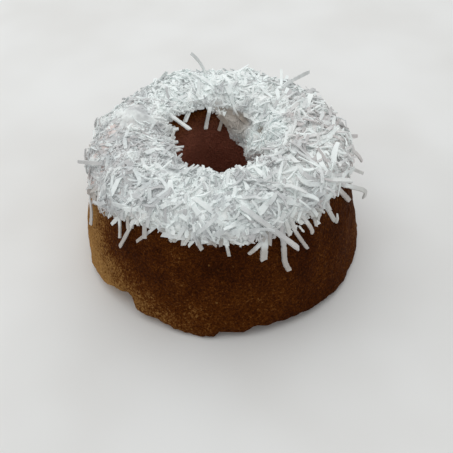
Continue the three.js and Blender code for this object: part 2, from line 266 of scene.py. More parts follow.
@dataclass(frozen=True)
class Outline:
    """A line round the ring: as measured where it shows, and elsewhere a level with waves.

    Its turns are degrees, counted from the first. The measured run comes in over one span of
    degrees and goes out over another.
    """

    first: float
    turns: tuple[float, ...]
    values: tuple[float, ...]
    comes_in: Span
    goes_out: Span
    level: float = 0.0
    waves: Waves = ()

    def seen(self, turn: Array) -> Array:
        """1 where the line is measured, eased to 0 past both ends."""
        return between(self.comes_in, self.goes_out, counted(turn, self.first))

    def measured(self, turn: Array) -> Array:
        """The measured line, straight from point to point."""
        return np.interp(counted(turn, self.first), self.turns, self.values)

    def at(self, turn: Array) -> Array:
        """The measured line where it is seen, eased into the level and its waves."""
        return lerp(self.level + ripple(self.waves, turn), self.measured(turn), self.seen(turn))


class Signal:
    """A shader value that sums and products can be written with."""

    def __init__(self, graph: "Graph", socket: Socket) -> None:
        """Wraps an output socket of a graph."""
        self.graph = graph
        self.socket = socket

    def __add__(self, other: "Signal | float") -> "Signal":
        """This plus other."""
        return self.graph.math("ADD", self, other)

    def __radd__(self, other: float) -> "Signal":
        """Other plus this."""
        return self.graph.math("ADD", other, self)

    def __sub__(self, other: "Signal | float") -> "Signal":
        """This minus other."""
        return self.graph.math("SUBTRACT", self, other)

    def __rsub__(self, other: float) -> "Signal":
        """Other minus this."""
        return self.graph.math("SUBTRACT", other, self)

    def __mul__(self, other: "Signal | float") -> "Signal":
        """This times other."""
        return self.graph.math("MULTIPLY", self, other)

    def __rmul__(self, other: float) -> "Signal":
        """Other times this."""
        return self.graph.math("MULTIPLY", other, self)

    def step(self, low: float, high: float) -> "Signal":
        """An eased step.

        Args:
            low: the value at which it is 0.
            high: the value at which it is 1.

        Returns:
            The step.
        """
        settings = {"interpolation_type": "SMOOTHSTEP"}
        sockets = {"Value": self, "From Min": low, "From Max": high}
        return self.graph.node("ShaderNodeMapRange", settings, sockets, "Result")


class Graph:
    """The nodes of one material, all made through one method."""

    def __init__(self, name: str) -> None:
        """Starts a material with one principled surface.

        Args:
            name: the material's name.
        """
        self.material = bpy.data.materials.new(name)
        self.material.use_nodes = True
        self.tree = self.material.node_tree
        self.tree.nodes.clear()
        self.surface = self.tree.nodes.new("ShaderNodeBsdfPrincipled")
        output = self.tree.nodes.new("ShaderNodeOutputMaterial")
        self.tree.links.new(self.surface.outputs["BSDF"], output.inputs["Surface"])
        self.place = self.node("ShaderNodeTexCoord", {}, {}, "Object")

    def feed(self, socket: Socket, value: Any) -> None:
        """Links a signal to a socket, or sets a plain value on it.

        Args:
            socket: the socket to feed.
            value: a signal, a number or a colour.
        """
        if isinstance(value, Signal):
            self.tree.links.new(value.socket, socket)
        else:
            socket.default_value = value

    def node(
        self, kind: str, settings: dict[str, Any], sockets: dict[Any, Any], result: Any = 0
    ) -> Signal:
        """Adds a node.

        Args:
            kind: the node's type.
            settings: its own options, set before its sockets.
            sockets: values or signals by socket name or number.
            result: name or number of the output to use.

        Returns:
            The chosen output.
        """
        made = self.tree.nodes.new(kind)
        for option, value in settings.items():
            setattr(made, option, value)
        for key, value in sockets.items():
            self.feed(made.inputs[key], value)
        return Signal(self, made.outputs[result])

    def math(self, operation: str, first: Any, second: Any) -> Signal:
        """One sum on two values, at least one of them a signal."""
        return self.node("ShaderNodeMath", {"operation": operation}, {0: first, 1: second})

    def grain(self, size: float, detail: float, rough: float = 0.55) -> Signal:
        """Noise on the object's own coordinates.

        Args:
            size: about how wide its features are, in millimetres.
            detail: how many finer noises are added.
            rough: how strong those are.

        Returns:
            A value from 0 to 1.
        """
        sockets = {"Vector": self.place, "Scale": 1.0 / (size * MM), "Detail": detail}
        sockets["Roughness"] = rough
        return self.node("ShaderNodeTexNoise", {"noise_dimensions": "3D"}, sockets, 0)

    def painted(self, coat: Coat) -> Signal:
        """A number stored on the vertices."""
        return self.node("ShaderNodeAttribute", {"attribute_name": coat.value}, {}, "Fac")

    def blend(self, share: Any, first: Any, second: Any) -> Signal:
        """A colour that share of the way from first to second."""
        settings = {"data_type": "RGBA", "blend_type": "MIX"}
        return self.node("ShaderNodeMix", settings, {0: share, 6: first, 7: second}, 2)

    def bump(self, height: Signal, depth: float, strength: float) -> Signal:
        """A surface normal tilted by a height of so many millimetres."""
        sockets = {"Height": height, "Distance": depth * MM, "Strength": strength}
        return self.node("ShaderNodeBump", {}, sockets, "Normal")

    def finish(self, **sockets: Any) -> bpy.types.Material:
        """Feeds the surface.

        Args:
            sockets: values or signals by socket name, with underscores for spaces.

        Returns:
            The material.
        """
        for key, value in sockets.items():
            self.feed(self.surface.inputs[key.replace("_", " ")], value)
        return self.material


def srgb(red: int, green: int, blue: int) -> Colour:
    """A linear colour by the sRGB curve: a straight toe, then a power of 2.4.

    Args:
        red: 0 to 255, as in a picture.
        green: the same.
        blue: the same.

    Returns:
        Linear red, green, blue and 1.
    """
    channels = (c / 255.0 for c in (red, green, blue))
    linear = [c / 12.92 if c <= 0.04045 else ((c + 0.055) / 1.055) ** 2.4 for c in channels]
    return (linear[0], linear[1], linear[2], 1.0)


@dataclass(frozen=True)
class CrustFinish:
    """Baked crust: dark and reddish where it browned most, golden where least, gritty all over."""

    pit: Colour = srgb(30, 11, 2)
    dark: Colour = srgb(57, 23, 3)
    brown: Colour = srgb(88, 45, 8)
    golden: Colour = srgb(159, 118, 66)
    speck: Colour = srgb(204, 160, 102)
    wall: Colour = srgb(146, 90, 72)
    glaze: Colour = srgb(196, 164, 152)
    roughness: float = 0.9
    gloss: float = 0.05
    broad: Grain = (8.0, 4.0)
    grit: Grain = (1.6, 2.0, 0.6)
    fine: Grain = (0.9, 1.0)
    flecks: Grain = (3.4, 1.0)
    uneven: float = 0.3
    gritty: float = 1.8
    dark_from: Span = (-0.3, 0.15)
    brown_from: Span = (0.05, 0.55)
    golden_from: Span = (0.4, 1.0)
    speck_from: Span = (1.0, 1.4)
    fleck_from: Span = (0.74, 0.82)
    fleck_share: float = 0.4
    wall_share: float = 0.7
    wall_grit: float = 0.5
    glaze_from: Span = (0.35, 0.75)
    glaze_broad: float = 0.8
    glaze_grit: float = 0.3
    glaze_share: float = 0.8
    grit_relief: float = 0.8
    fine_relief: float = 0.4
    relief_depth: float = 1.5

    def material(self) -> bpy.types.Material:
        """Colour by the painted browning and painted light, broken by grain, with pits and grit as
        bump.

        Returns:
            The crust's material.
        """
        graph = Graph("baked_crust")
        browning, glazed = graph.painted(Coat.BROWNING), graph.painted(Coat.GLAZED)
        inside = graph.painted(Coat.INSIDE)
        broad, grit, fine = (graph.grain(*kind) for kind in (self.broad, self.grit, self.fine))
        speckled = (grit * 0.5 + fine * 0.5 - 0.5) * self.gritty
        varied = (1.0 - browning) + (broad - 0.5) * self.uneven + speckled
        colour = graph.blend(varied.step(*self.dark_from), self.pit, self.dark)
        colour = graph.blend(varied.step(*self.brown_from), colour, self.brown)
        colour = graph.blend(varied.step(*self.golden_from), colour, self.golden)
        colour = graph.blend(varied.step(*self.speck_from), colour, self.speck)
        fleck = graph.grain(*self.flecks).step(*self.fleck_from) * (1.0 - inside)
        colour = graph.blend(fleck * self.fleck_share, colour, self.golden)
        walled = inside * (self.wall_share + grit * self.wall_grit)
        colour = graph.blend(walled, colour, self.wall)
        milky = glazed + (broad - 0.5) * self.glaze_broad + (grit - 0.5) * self.glaze_grit
        milky = milky.step(*self.glaze_from)
        colour = graph.blend(milky * self.glaze_share, colour, self.glaze)
        relief = grit * self.grit_relief + fine * self.fine_relief
        return graph.finish(
            Base_Color=colour,
            Roughness=self.roughness,
            Normal=graph.bump(relief, self.relief_depth, 1.0),
            Specular_IOR_Level=self.gloss,
        )


@dataclass(frozen=True)
class CoconutFinish:
    """Moist grated coconut: cool white to clear, each shred of its own shade.

    Its small glow stands for the light that goes on through moist shreds.
    """

    name: str
    white: Colour = srgb(243, 249, 248)
    clear: Colour = srgb(188, 193, 195)
    blush: Colour = srgb(214, 193, 187)
    # the crust seen through thin coconut, and painted shade on hanging shreds and in the hole
    thinned: Colour = srgb(150, 137, 125)
    roughness: float = 0.5
    rougher: float = 0.25
    gloss: float = 0.25
    fibres: Grain = (1.6, 2.0)
    fibre_shade: float = 0.4
    fibre_depth: float = 0.2
    fibre_strength: float = 0.25
    through: float = 0.1
    through_depth: float = 1.2
    through_colour: tuple[float, float, float] = (1.0, 0.95, 0.9)
    glow: float = 0.045

    def material(self) -> bpy.types.Material:
        """White to clear by the painted shade, blushed by glaze, darker where the crust shows
        through and where shade is painted.

        Returns:
            The coconut's material.
        """
        graph = Graph(self.name)
        fibre = graph.grain(*self.fibres)
        shade = graph.painted(Coat.SHADE) + (fibre - 0.5) * self.fibre_shade
        colour = graph.blend(shade.step(0.0, 1.0), self.white, self.clear)
        colour = graph.blend(graph.painted(Coat.BLUSH), colour, self.blush)
        colour = graph.blend(graph.painted(Coat.THINNED), colour, self.thinned)
        return graph.finish(
            Base_Color=colour,
            Roughness=self.roughness + (fibre - 0.5) * self.rougher,
            Normal=graph.bump(fibre, self.fibre_depth, self.fibre_strength),
            Subsurface_Weight=self.through,
            Subsurface_Radius=self.through_colour,
            Subsurface_Scale=self.through_depth * MM,
            Emission_Color=self.white,
            Emission_Strength=self.glow,
            Specular_IOR_Level=self.gloss,
        )


@dataclass(frozen=True)
class FloorFinish:
    """A pale matt ground."""

    pale: Colour = srgb(236, 236, 235)
    warm: Colour = srgb(228, 227, 225)
    drifts: Grain = (120.0, 2.0)
    warm_from: Span = (0.3, 0.7)
    roughness: float = 0.9

    def material(self) -> bpy.types.Material:
        """Two near whites in slow drifts.

        Returns:
            The ground's material.
        """
        graph = Graph("pale_ground")
        drift = graph.grain(*self.drifts).step(*self.warm_from)
        colour = graph.blend(drift, self.pale, self.warm)
        return graph.finish(Base_Color=colour, Roughness=self.roughness)


@dataclass(frozen=True)
class SectionRun:
    """The section as points: places, radii with heights, slopes, and where its parts begin."""

    places: Array
    points: Array
    slopes: Array
    foot: float
    wall: float
    flank: float
    edge: float


@dataclass(frozen=True)
class RingSection:
    """The ring's section, from the foot of the hole over the crest to the flank's foot."""

    base_radius: float = 87.5
    edge_height: float = 6.0
    rest_radius: float = 81.0
    rim_radius: float = 86.0
    shoulder: Span = (74.5, 61.0)
    crest: Span = (52.0, 80.0)
    lip: Span = (27.0, 60.0)
    hole_radius: float = 22.0
    rounding: float = 0.6
    straight_steps: int = 60
    curve_steps: int = 120
    bulge: Side = Side(180.0, 32.0, 1.8)
    waves: Waves = ((0.5, 3, 1.3, 25), (0.35, 7, 0.6, -14), (0.25, 13, 2.1, 9))

    def curve(self, start: Array, first: Array, second: Array, end: Array) -> Array:
        """A cubic curve: its four corners weighted by the powers of t and 1 - t.

        Args:
            start: where it begins.
            first: the corner that it leaves towards.
            second: the corner that it arrives from.
            end: where it ends.

        Returns:
            Points along it.
        """
        t = np.linspace(0.0, 1.0, self.curve_steps)[:, None]
        s = 1.0 - t
        return s**3 * start + 3 * s * s * t * first + 3 * s * t * t * second + t**3 * end

    @cached_property
    def run(self) -> SectionRun:
        """A straight wall, two curves that meet level at the crest, and a straight flank.

        Returns:
            The section, with places counted from the crest.
        """
        foot, lip = np.array([self.hole_radius, 0.0]), np.array(self.lip)
        crest, shoulder = np.array(self.crest), np.array(self.shoulder)
        edge = np.array([self.base_radius, self.edge_height])
        above_lip = unit(lip - foot) * self.rounding * (crest[1] - lip[1])
        above_shoulder = unit(shoulder - edge) * self.rounding * (crest[1] - shoulder[1])
        over_lip = np.array([lerp(crest[0], lip[0], self.rounding), crest[1]])
        over_shoulder = np.array([lerp(crest[0], shoulder[0], self.rounding), crest[1]])
        parts = [
            np.linspace(foot, lip, self.straight_steps),
            self.curve(lip, lip + above_lip, over_lip, crest)[1:],
            self.curve(crest, over_shoulder, shoulder + above_shoulder, shoulder)[1:],
            np.linspace(shoulder, edge, self.straight_steps)[1:],
        ]
        points = np.vstack(parts)
        steps = np.linalg.norm(np.diff(points, axis=0), axis=1)
        length = np.concatenate([[0.0], np.cumsum(steps)])
        ends = np.cumsum([len(part) for part in parts]) - 1
        places = length - length[ends[1]]
        slopes = unit(np.gradient(points, length, axis=0))
        marks = (places[0], places[ends[0]], places[ends[2]], places[-1])
        return SectionRun(places, points, slopes, *marks)

    def at(self, place: Array) -> tuple[Array, Array]:
        """The plain section, straight between its points.

        Args:
            place: places along it.

        Returns:
            Radius and height there, and the slope.
        """
        spot, slope = (
            np.stack([np.interp(place, self.run.places, rows[:, i]) for i in range(2)], axis=-1)
            for rows in (self.run.points, self.run.slopes)
        )
        return spot, unit(slope)

    def bake(self, turn: Array, place: Array) -> Array:
        """How far the baked surface stands off the plain section: a swelling and slanted waves.

        Args:
            turn: angles round the axis.
            place: places along the section.

        Returns:
            Millimetres, falling to 0 at both feet.
        """
        run = self.run
        flank = np.clip((place - run.flank) / (run.edge - run.flank), 0.0, 1.0)
        wall = np.clip((place - run.foot) / (run.wall - run.foot), 0.0, 1.0)
        swelling = self.bulge.at(turn) * np.sin(math.pi * flank)
        return swelling + wall * ripple(self.waves, turn, place)

    def surface(
        self, turn: Array, place: Array, lift: Array | float
    ) -> tuple[Array, Array, Array, Array]:
        """Points over the ring: the section, moved out square to its slope and swung round.

        Args:
            turn: angles round the axis.
            place: millimetres from the crest, outwards along the slope.
            lift: height over the baked surface, along its own outward direction.

        Returns:
            Points, then the directions down the slope, round the axis and outwards.
        """
        turn, place, lift = np.broadcast_arrays(turn, place, lift)
        spot, slope = self.at(place)
        raised = lift + self.bake(turn, place)
        radius = spot[..., 0] - slope[..., 1] * raised
        height = spot[..., 1] + slope[..., 0] * raised
        down = swung(slope[..., 0], turn, slope[..., 1])
        around = np.stack([-np.sin(turn), np.cos(turn), np.zeros(turn.shape)], axis=-1)
        out = swung(-slope[..., 1], turn, slope[..., 0])
        return swung(radius, turn, height), down, around, out


@dataclass(frozen=True)
class BrowningAndLight:
    """How dark the crust is painted: most below the shoulder in front, least on the left and low.
    Its paler left is partly browning and partly painted light from that side.
    """

    belt: float = 0.67
    higher: float = 0.22
    heights: Span = (6.0, 40.0)
    # paler just below the coconut
    paler_below_coconut: float = 0.1
    paler_below_heights: Span = (44.0, 60.0)
    # paler left: partly less browning, partly painted light from the left
    left: Side = Side(180.0, 53.0, 0.86)
    left_range: Span = (1.05, 0.8)
    right: Side = Side(-8.0, 20.0, 0.14)
    low_right: Side = Side(-38.0, 22.0, 0.2)
    smudge: Side = Side(-125.0, 24.0, 0.2)
    smudge_heights: Span = (26.0, 50.0)
    patches: Layers = ((0.14, 26.0, 11), (0.1, 9.0, 12))
    in_hole: float = 0.78
    hole_place: float = -14.0

    def at(self, points: Array, turn: Array, place: Array) -> Array:
        """A belt that darkens upwards, less what the sides lack, plus patches. The hole is even.

        Args:
            points: places on the crust.
            turn: their angles round the axis.
            place: their places along the section.

        Returns:
            0 where it is palest, to 1.
        """
        height = points[..., 2]
        upper = smooth(*self.heights, height)
        patches = layered(points, self.patches)
        belt = self.belt + self.higher * upper
        belt = belt - self.paler_below_coconut * smooth(*self.paler_below_heights, height)
        belt = belt + self.smudge.at(turn) * smooth(*self.smudge_heights, height)
        pale = self.left.at(turn) * lerp(*self.left_range, upper) + self.right.at(turn)
        outer = belt - pale + self.low_right.at(turn) * (1.0 - upper) + patches
        return np.clip(np.where(place < self.hole_place, self.in_hole + patches, outer), 0.0, 1.0)


@dataclass
class BakedRing:
    """The baked ring, with its crumbly lower edge, the broken place in it and its crust's grain."""

    section: RingSection
    finish: CrustFinish = CrustFinish()
    # the crust's browning, with painted light on its left side
    baked: BrowningAndLight = BrowningAndLight()
    columns: int = 720
    wall_rows: int = 26
    crown_rows: int = 34
    flank_rows: int = 57
    rim_rows: int = 9
    under_rows: int = 6
    rim_share: float = 0.62
    under_share: float = 0.7
    rim_rounding: float = 3.6
    rim_run: float = 6.0
    edge: Outline = Outline(
        first=-180.0,
        turns=(
            *(-162, -151, -143, -138, -132, -130, -127, -117, -103, -95),
            *(-93, -84, -80, -76, -62, -46, -36),
        ),
        values=(
            *(1.2, 4.5, 7, 10, 13, 12, 3.5, 3.5, 0.8, 0.8),
            *(4.5, 3, 6, 5.5, 4, 3, 1),
        ),
        comes_in=(-164.0, -160.0),
        goes_out=(-38.0, -34.0),
        level=1.1,
        waves=((0.45, 5, 0.4), (0.35, 12, 1.9)),
    )
    notch: Side = Side(-135.0, 9.0, 9.0)
    crease: Side = Side(-160.0, 2.4, 0.9)
    crease_top: Span = (29.0, 34.0)
    crease_foot: Span = (56.0, 72.0)
    relief: Layers = ((0.42, 9.0, 1), (0.26, 4.0, 2), (0.16, 2.0, 3))
    pits: tuple[float, int] = (3.2, 4)
    pit_depth: float = 0.5
    pit_from: Span = (0.45, 0.9)
    even_foot: float = 4.0
    even_under: Span = (0.6, 1.0)
    crags: Layers = ((0.7, 7.0, 5), (0.5, 3.4, 6), (0.3, 1.7, 9))
    ragged: Layers = ((0.8, 6.0, 7), (0.6, 3.0, 8))
    crumbly_height: float = 14.0
    crumbly_radius: float = 70.0
    glazed_in: Span = (-22.0, -16.0)
    glazed_out: Span = (20.0, 26.0)
    inside_from: Span = (-40.0, -20.0)

    def foot(self, turn: Array) -> Array:
        """Place on the flank where the round to the lower edge begins."""
        above = self.edge.at(turn) + self.rim_rounding - self.section.edge_height
        return self.section.run.edge - np.maximum(above, 0.0)

    def places(self, turn: Array) -> Array:
        """Rows of places: level ones over wall and crest, then even steps down to each turn's foot.

        Args:
            turn: one angle for each column.

        Returns:
            A grid of places.
        """
        run = self.section.run
        wall = np.linspace(run.foot, run.wall, self.wall_rows)
        crown = np.linspace(run.wall, run.flank, self.crown_rows)[1:]
        level = np.concatenate([wall, crown])[:, None]
        down = np.linspace(0.0, 1.0, self.flank_rows)[1:, None]
        flank = lerp(run.flank, self.foot(turn)[None], down)
        return np.concatenate([np.broadcast_to(level, (len(level), len(turn))), flank])

    def rim(self, turn: Array, share: Array) -> Array:
        """The edge below the flank: a quarter round to the rim, then straight to the resting face.

        Args:
            turn: angles round the axis.
            share: how far round the edge, 0 at the flank's foot and 1 at the resting face.

        Returns:
            Points.
        """
        start, _, _, _ = self.section.surface(turn, self.foot(turn), 0.0)
        outer = off_axis(start)
        edge = outer - (self.section.base_radius - self.section.rim_radius)
        rest = self.section.rest_radius - self.notch.at(turn)
        bend = np.minimum(share / self.rim_share, 1.0)
        under = np.clip((share - self.rim_share) / (1.0 - self.rim_share), 0.0, 1.0)
        reach = lerp(lerp(outer, edge, bend**2), rest, under)
        height = lerp(start[..., 2], self.edge.at(turn), np.sin(0.5 * math.pi * bend))
        return swung(reach, turn, lerp(height, 0.0, under))

    def roughen(
        self, points: Array, outs: Array, turn: Array, place: Array, share: Array
    ) -> Array:
        """Pushes the crust out by noise, less pits and a crease, and breaks its edge in crags.

        Args:
            points: the smooth grid.
            outs: outward directions there.
            turn: angles round the axis.
            place: places along the section.
            share: how far round the edge, 0 above it.

        Returns:
            The rough grid, with its first and last rows on the resting face.
        """
        foot = self.section.run.foot
        weight = smooth(foot, foot + self.even_foot, place)
        weight = weight * (1.0 - smooth(*self.even_under, share))
        outside = off_axis(points) > self.crumbly_radius
        low = smooth(self.crumbly_height, 0.0, points[..., 2] - self.edge.at(turn)) * outside
        crumbly = low * (1.0 - smooth(self.rim_share, 1.0, share))
        pits = self.pit_depth * smooth(*self.pit_from, noise(points, *self.pits))
        fold = between(self.crease_top, self.crease_foot, place)
        crust = layered(points, self.relief) - pits - self.crease.at(turn) * fold
        crags = crumbly * layered(points, self.crags)
        points = points + outs * (weight * crust + crags)[..., None]
        ragged = crumbly * layered(points, self.ragged)
        points[..., 2] = np.maximum(points[..., 2] + ragged, 0.0)
        points[[0, -1], :, 2] = 0.0
        return points

    def build(self) -> bpy.types.Object:
        """A closed grid: rows follow the section and the edge below it, columns go round.

        Returns:
            The dressed ring.
        """
        column = np.linspace(0.0, TAU, self.columns, endpoint=False)
        place = self.places(column)
        upper, _, _, out = self.section.surface(column, place, 0.0)
        round_rim = np.linspace(0.0, self.rim_share, self.rim_rows)[1:]
        under = np.linspace(self.under_share, 1.0, self.under_rows)
        turn, share = np.meshgrid(column, np.concatenate([round_rim, under]))
        lower = self.rim(turn, share)
        outs = np.concatenate([out, np.broadcast_to(out[-1], lower.shape)])
        turns = np.broadcast_to(column, outs.shape[:2])
        places = np.concatenate([place, self.section.run.edge + self.rim_run * share])
        shares = np.concatenate([np.zeros(place.shape), share])
        points = np.concatenate([upper, lower])
        points = self.roughen(points, outs, turns, places, shares)
        piece = ring_object("baked_ring", points)
        # browning, with painted light on the left side
        paint(piece, Coat.BROWNING, self.baked.at(points, turns, places))
        paint(piece, Coat.GLAZED, between(self.glazed_in, self.glazed_out, places))
        paint(piece, Coat.INSIDE, 1.0 - smooth(*self.inside_from, places))
        piece.data.materials.append(self.finish.material())
        return piece


@dataclass(frozen=True)
class Blanket:
    """Where the coconut lies and how it varies: its edges, thickness and moisture, and the painted
    light and shade in its hole.
    """

    mean: float = 3.9
    least: float = 1.2
    crest_radius: float = 52.0
    lumps: Layers = ((1.5, 15.0, 41), (1.8, 8.5, 42), (1.3, 4.5, 44))
    shoulder_extra: float = 1.6
    shoulder: Span = (15.0, 9.0)
    crown: Outline = Outline(
        first=0.0,
        turns=(19, 27, 33, 52, 60, 72, 80, 92, 106, 120, 132, 147, 161),
        values=(1.0, 2.8, 1.8, 2.8, 1.4, 5.0, 1.6, 0.8, 2.4, 2.2, 0.8, 2.6, 3.2),
        comes_in=(8.0, 18.0),
        goes_out=(160.0, 172.0),
    )
    crown_place: Span = (14.0, 9.0)
    crown_lumps: float = 0.7
    outer: Outline = Outline(
        first=-270.0,
        turns=(-180, -166, -155, -146, -134, -121, -110, -90, -80, -70, -61, -50, -38, -22, 0),
        values=(29, 35, 34.5, 33, 27.5, 24.5, 26.5, 27, 28.5, 28, 24.5, 27.5, 25, 26, 27.5),
        comes_in=(-186.0, -176.0),
        goes_out=(-14.0, 0.0),
        level=27.5,
        waves=((1.1, 7, 0.5), (0.8, 16, 1.1)),
    )
    inner: Outline = Outline(
        first=-90.0,
        turns=(
            *(-32, -12, 5, 20, 35, 48, 60, 70, 76, 82),
            *(92, 104, 123, 132, 141, 157, 167, 176, 186, 200),
        ),
        values=(
            *(-20.5, -28, -38, -44.5, -46, -43.5, -41, -39.5, -36, -29.5),
            *(-25, -18.5, -19.2, -18.7, -17.6, -17, -21, -24, -26, -22),
        ),
        comes_in=(-32.0, -22.0),
        goes_out=(190.0, 200.0),
        level=-20.5,
        waves=((1.2, 6, 2.2), (0.8, 14, 0.3)),
    )
    front: Side = Side(-92.0, 60.0)
    lip_drop: float = 2.2
    lip_reach: float = 12.0
    slump: Spot = Spot(Side(11.0, 18.0, 3.0), 15.0, 11.0)
    drift: Side = Side(8.0, 26.0, 3.5)
    drift_from: Span = (25.0, 36.0)
    clump: Spot = Spot(Side(165.0, 9.0), -3.0, 8.0)
    clump_height: float = 3.5
    hollow: Spot = Spot(Side(161.0, 4.0, 1.8), -6.5, 3.2)
    band: Spot = Spot(Side(68.0, 27.0), -24.4, 2.6)
    band_lean: float = 0.12
    patch: Spot = Spot(Side(23.0, 9.0, 0.8), -26.0, 2.8)
    bare_gain: float = 1.7
    bare_loss: float = 0.75
    outer_thinning: Span = (-3.0, 7.0)
    inner_thinning: Span = (-4.0, 3.0)
    edge_share: float = 0.25
    side_tones: tuple[Side, ...] = (
        Side(-158.0, 52.0, 0.35),
        Side(-8.0, 45.0, 0.25),
        Side(95.0, 60.0, -0.05),
    )
    mottling: Layers = ((0.3, 12.0, 51), (0.3, 5.0, 52))
    # Painted light: the coconut in the hole's right side is painted whiter and less blushed, against
    # the shade that falls there.
    lit_side: Side = Side(8.0, 42.0)
    lit_radii: Span = (43.0, 34.0)
    light_whitening: float = 0.5
    thinner: tuple[tuple[Side, Span], ...] = (
        (Side(-172.0, 36.0), (0.35, 0.75)),
        (Side(135.0, 28.0), (0.3, 0.6)),
        (Side(-8.0, 34.0, 0.8), (0.55, 0.85)),
    )
    thin_edge: float = 0.5
    thin_edge_from: Span = (0.9, 1.0)
    # painted shade in the hole, with the crust seen through thin coconut there
    shade_film: float = 0.85
    shade_film_left: float = 0.35
    shade_film_front: float = -90.0
    shade_film_back: Span = (34.0, 60.0)
    shade_film_from: Span = (21.0, 26.0)
    shade_film_ends: Span = (30.0, 36.0)
    shade_film_lost: float = 0.8

    def place(self, turn: Array, share: Array) -> Array:
        """Place at a share of the way from the inner to the outer edge."""
        return lerp(self.inner.at(turn), self.outer.at(turn), share)

    def flat(self, turn: Array, place: Array) -> Array:
        """The coconut's area rolled out flat, as points for noise."""
        radius = self.crest_radius + place
        return swung(radius, turn, np.zeros_like(radius))

    def lip(self, turn: Array, place: Array) -> Array:
        """1 along the front of the hole's edge, where the coconut lies low, falling to 0."""
        away = smooth(0.0, self.lip_reach, place - self.inner.at(turn))
        return self.front.at(turn) * (1.0 - away)

    def thickness(self, turn: Array, place: Array) -> Array:
        """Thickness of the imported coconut: a mean with lumps, as outlined at the back.

        It is more on the front shoulder, in the drift in the hole and in the clump, and less along
        the front lip and on the right shoulder.

        Args:
            turn: angles round the axis.
            place: places along the section.

        Returns:
            Millimetres.
        """
        ahead = 0.5 - 0.5 * np.sin(turn)
        at_shoulder = hill(place - self.shoulder[0], self.shoulder[1])
        lumps = layered(self.flat(turn, place), self.lumps)
        plain = self.mean + self.shoulder_extra * ahead * at_shoulder + lumps
        crown = self.crown.measured(turn) + self.crown_lumps * lumps
        at_crown = hill(place - self.crown_place[0], self.crown_place[1])
        lying = lerp(plain, crown, self.crown.seen(turn) * at_crown)
        lying = lying - self.lip_drop * self.lip(turn, place) - self.slump.at(turn, place)
        drift = self.drift.at(turn) * smooth(*self.drift_from, -place)
        heaped = drift + self.clump_height * self.clump.at(turn, place)
        return np.maximum(lying + heaped, self.least)

    def bare(self, turn: Array, place: Array) -> Array:
        """1 on the slanting band and the patch of the hole's wall that the coconut has slid off.

        Args:
            turn: angles round the axis.
            place: places along the section.

        Returns:
            0 to 1: the larger of two hills, made steeper and cut off at 1.
        """
        slid = place - self.band_lean * (counted(turn, -180.0) - self.band.side.turn)
        hills = np.maximum(self.band.at(turn, slid), self.patch.at(turn, place))
        return np.minimum(self.bare_gain * hills, 1.0)

    def pile(self, turn: Array, place: Array) -> Array:
        """The thickness that loose shreds lie on: less where bare, thinning to both edges and past.

        Args:
            turn: angles round the axis.
            place: places along the section.

        Returns:
            Millimetres.
        """
        outward = smooth(*self.outer_thinning, self.outer.at(turn) - place)
        inward = smooth(*self.inner_thinning, place - self.inner.at(turn))
        kept = 1.0 - self.bare_loss * self.bare(turn, place)
        return self.thickness(turn, place) * kept * lerp(self.edge_share, 1.0, outward * inward)

    def side_tone(self, turn: Array) -> Array:
        """How much clearer the coconut is than on the average: more at both sides, less behind."""
        return sum(side.at(turn) for side in self.side_tones)

    def mottle(self, points: Array) -> Array:
        """Drifts of moister and less moist coconut: noise at two scales."""
        return layered(points, self.mottling)

    def painted_light(self, turn: Array, points: Array) -> Array:
        """1 in the hole's right side, where painted light makes the coconut whiter against the shade
        there, falling to 0.
        """
        return self.lit_side.at(turn) * smooth(*self.lit_radii, off_axis(points))

    def thin(self, turn: Array, share: Array) -> Array:
        """Where the glaze shows: on some sides towards the outer edge, and a little along it."""
        sides = sum(side.at(turn) * smooth(*span, share) for side, span in self.thinner)
        return np.clip(sides + self.thin_edge * smooth(*self.thin_edge_from, share), 0.0, 1.0)

    def dim(self, turn: Array, place: Array) -> Array:
        """Painted shade in the hole, with the crust seen through thin coconut there: most at its
        back, not on the right.

        Args:
            turn: angles round the axis.
            place: places along the section.

        Returns:
            0 to 1: a film of painted shade that begins below the lip and all but ends further down.
        """
        degrees = counted(turn, -180.0)
        back = smooth(*self.shade_film_back, degrees)
        side = np.where(degrees < self.shade_film_front, self.shade_film_left, back)
        ends = 1.0 - self.shade_film_lost * smooth(*self.shade_film_ends, -place)
        return self.shade_film * smooth(*self.shade_film_from, -place) * ends * side


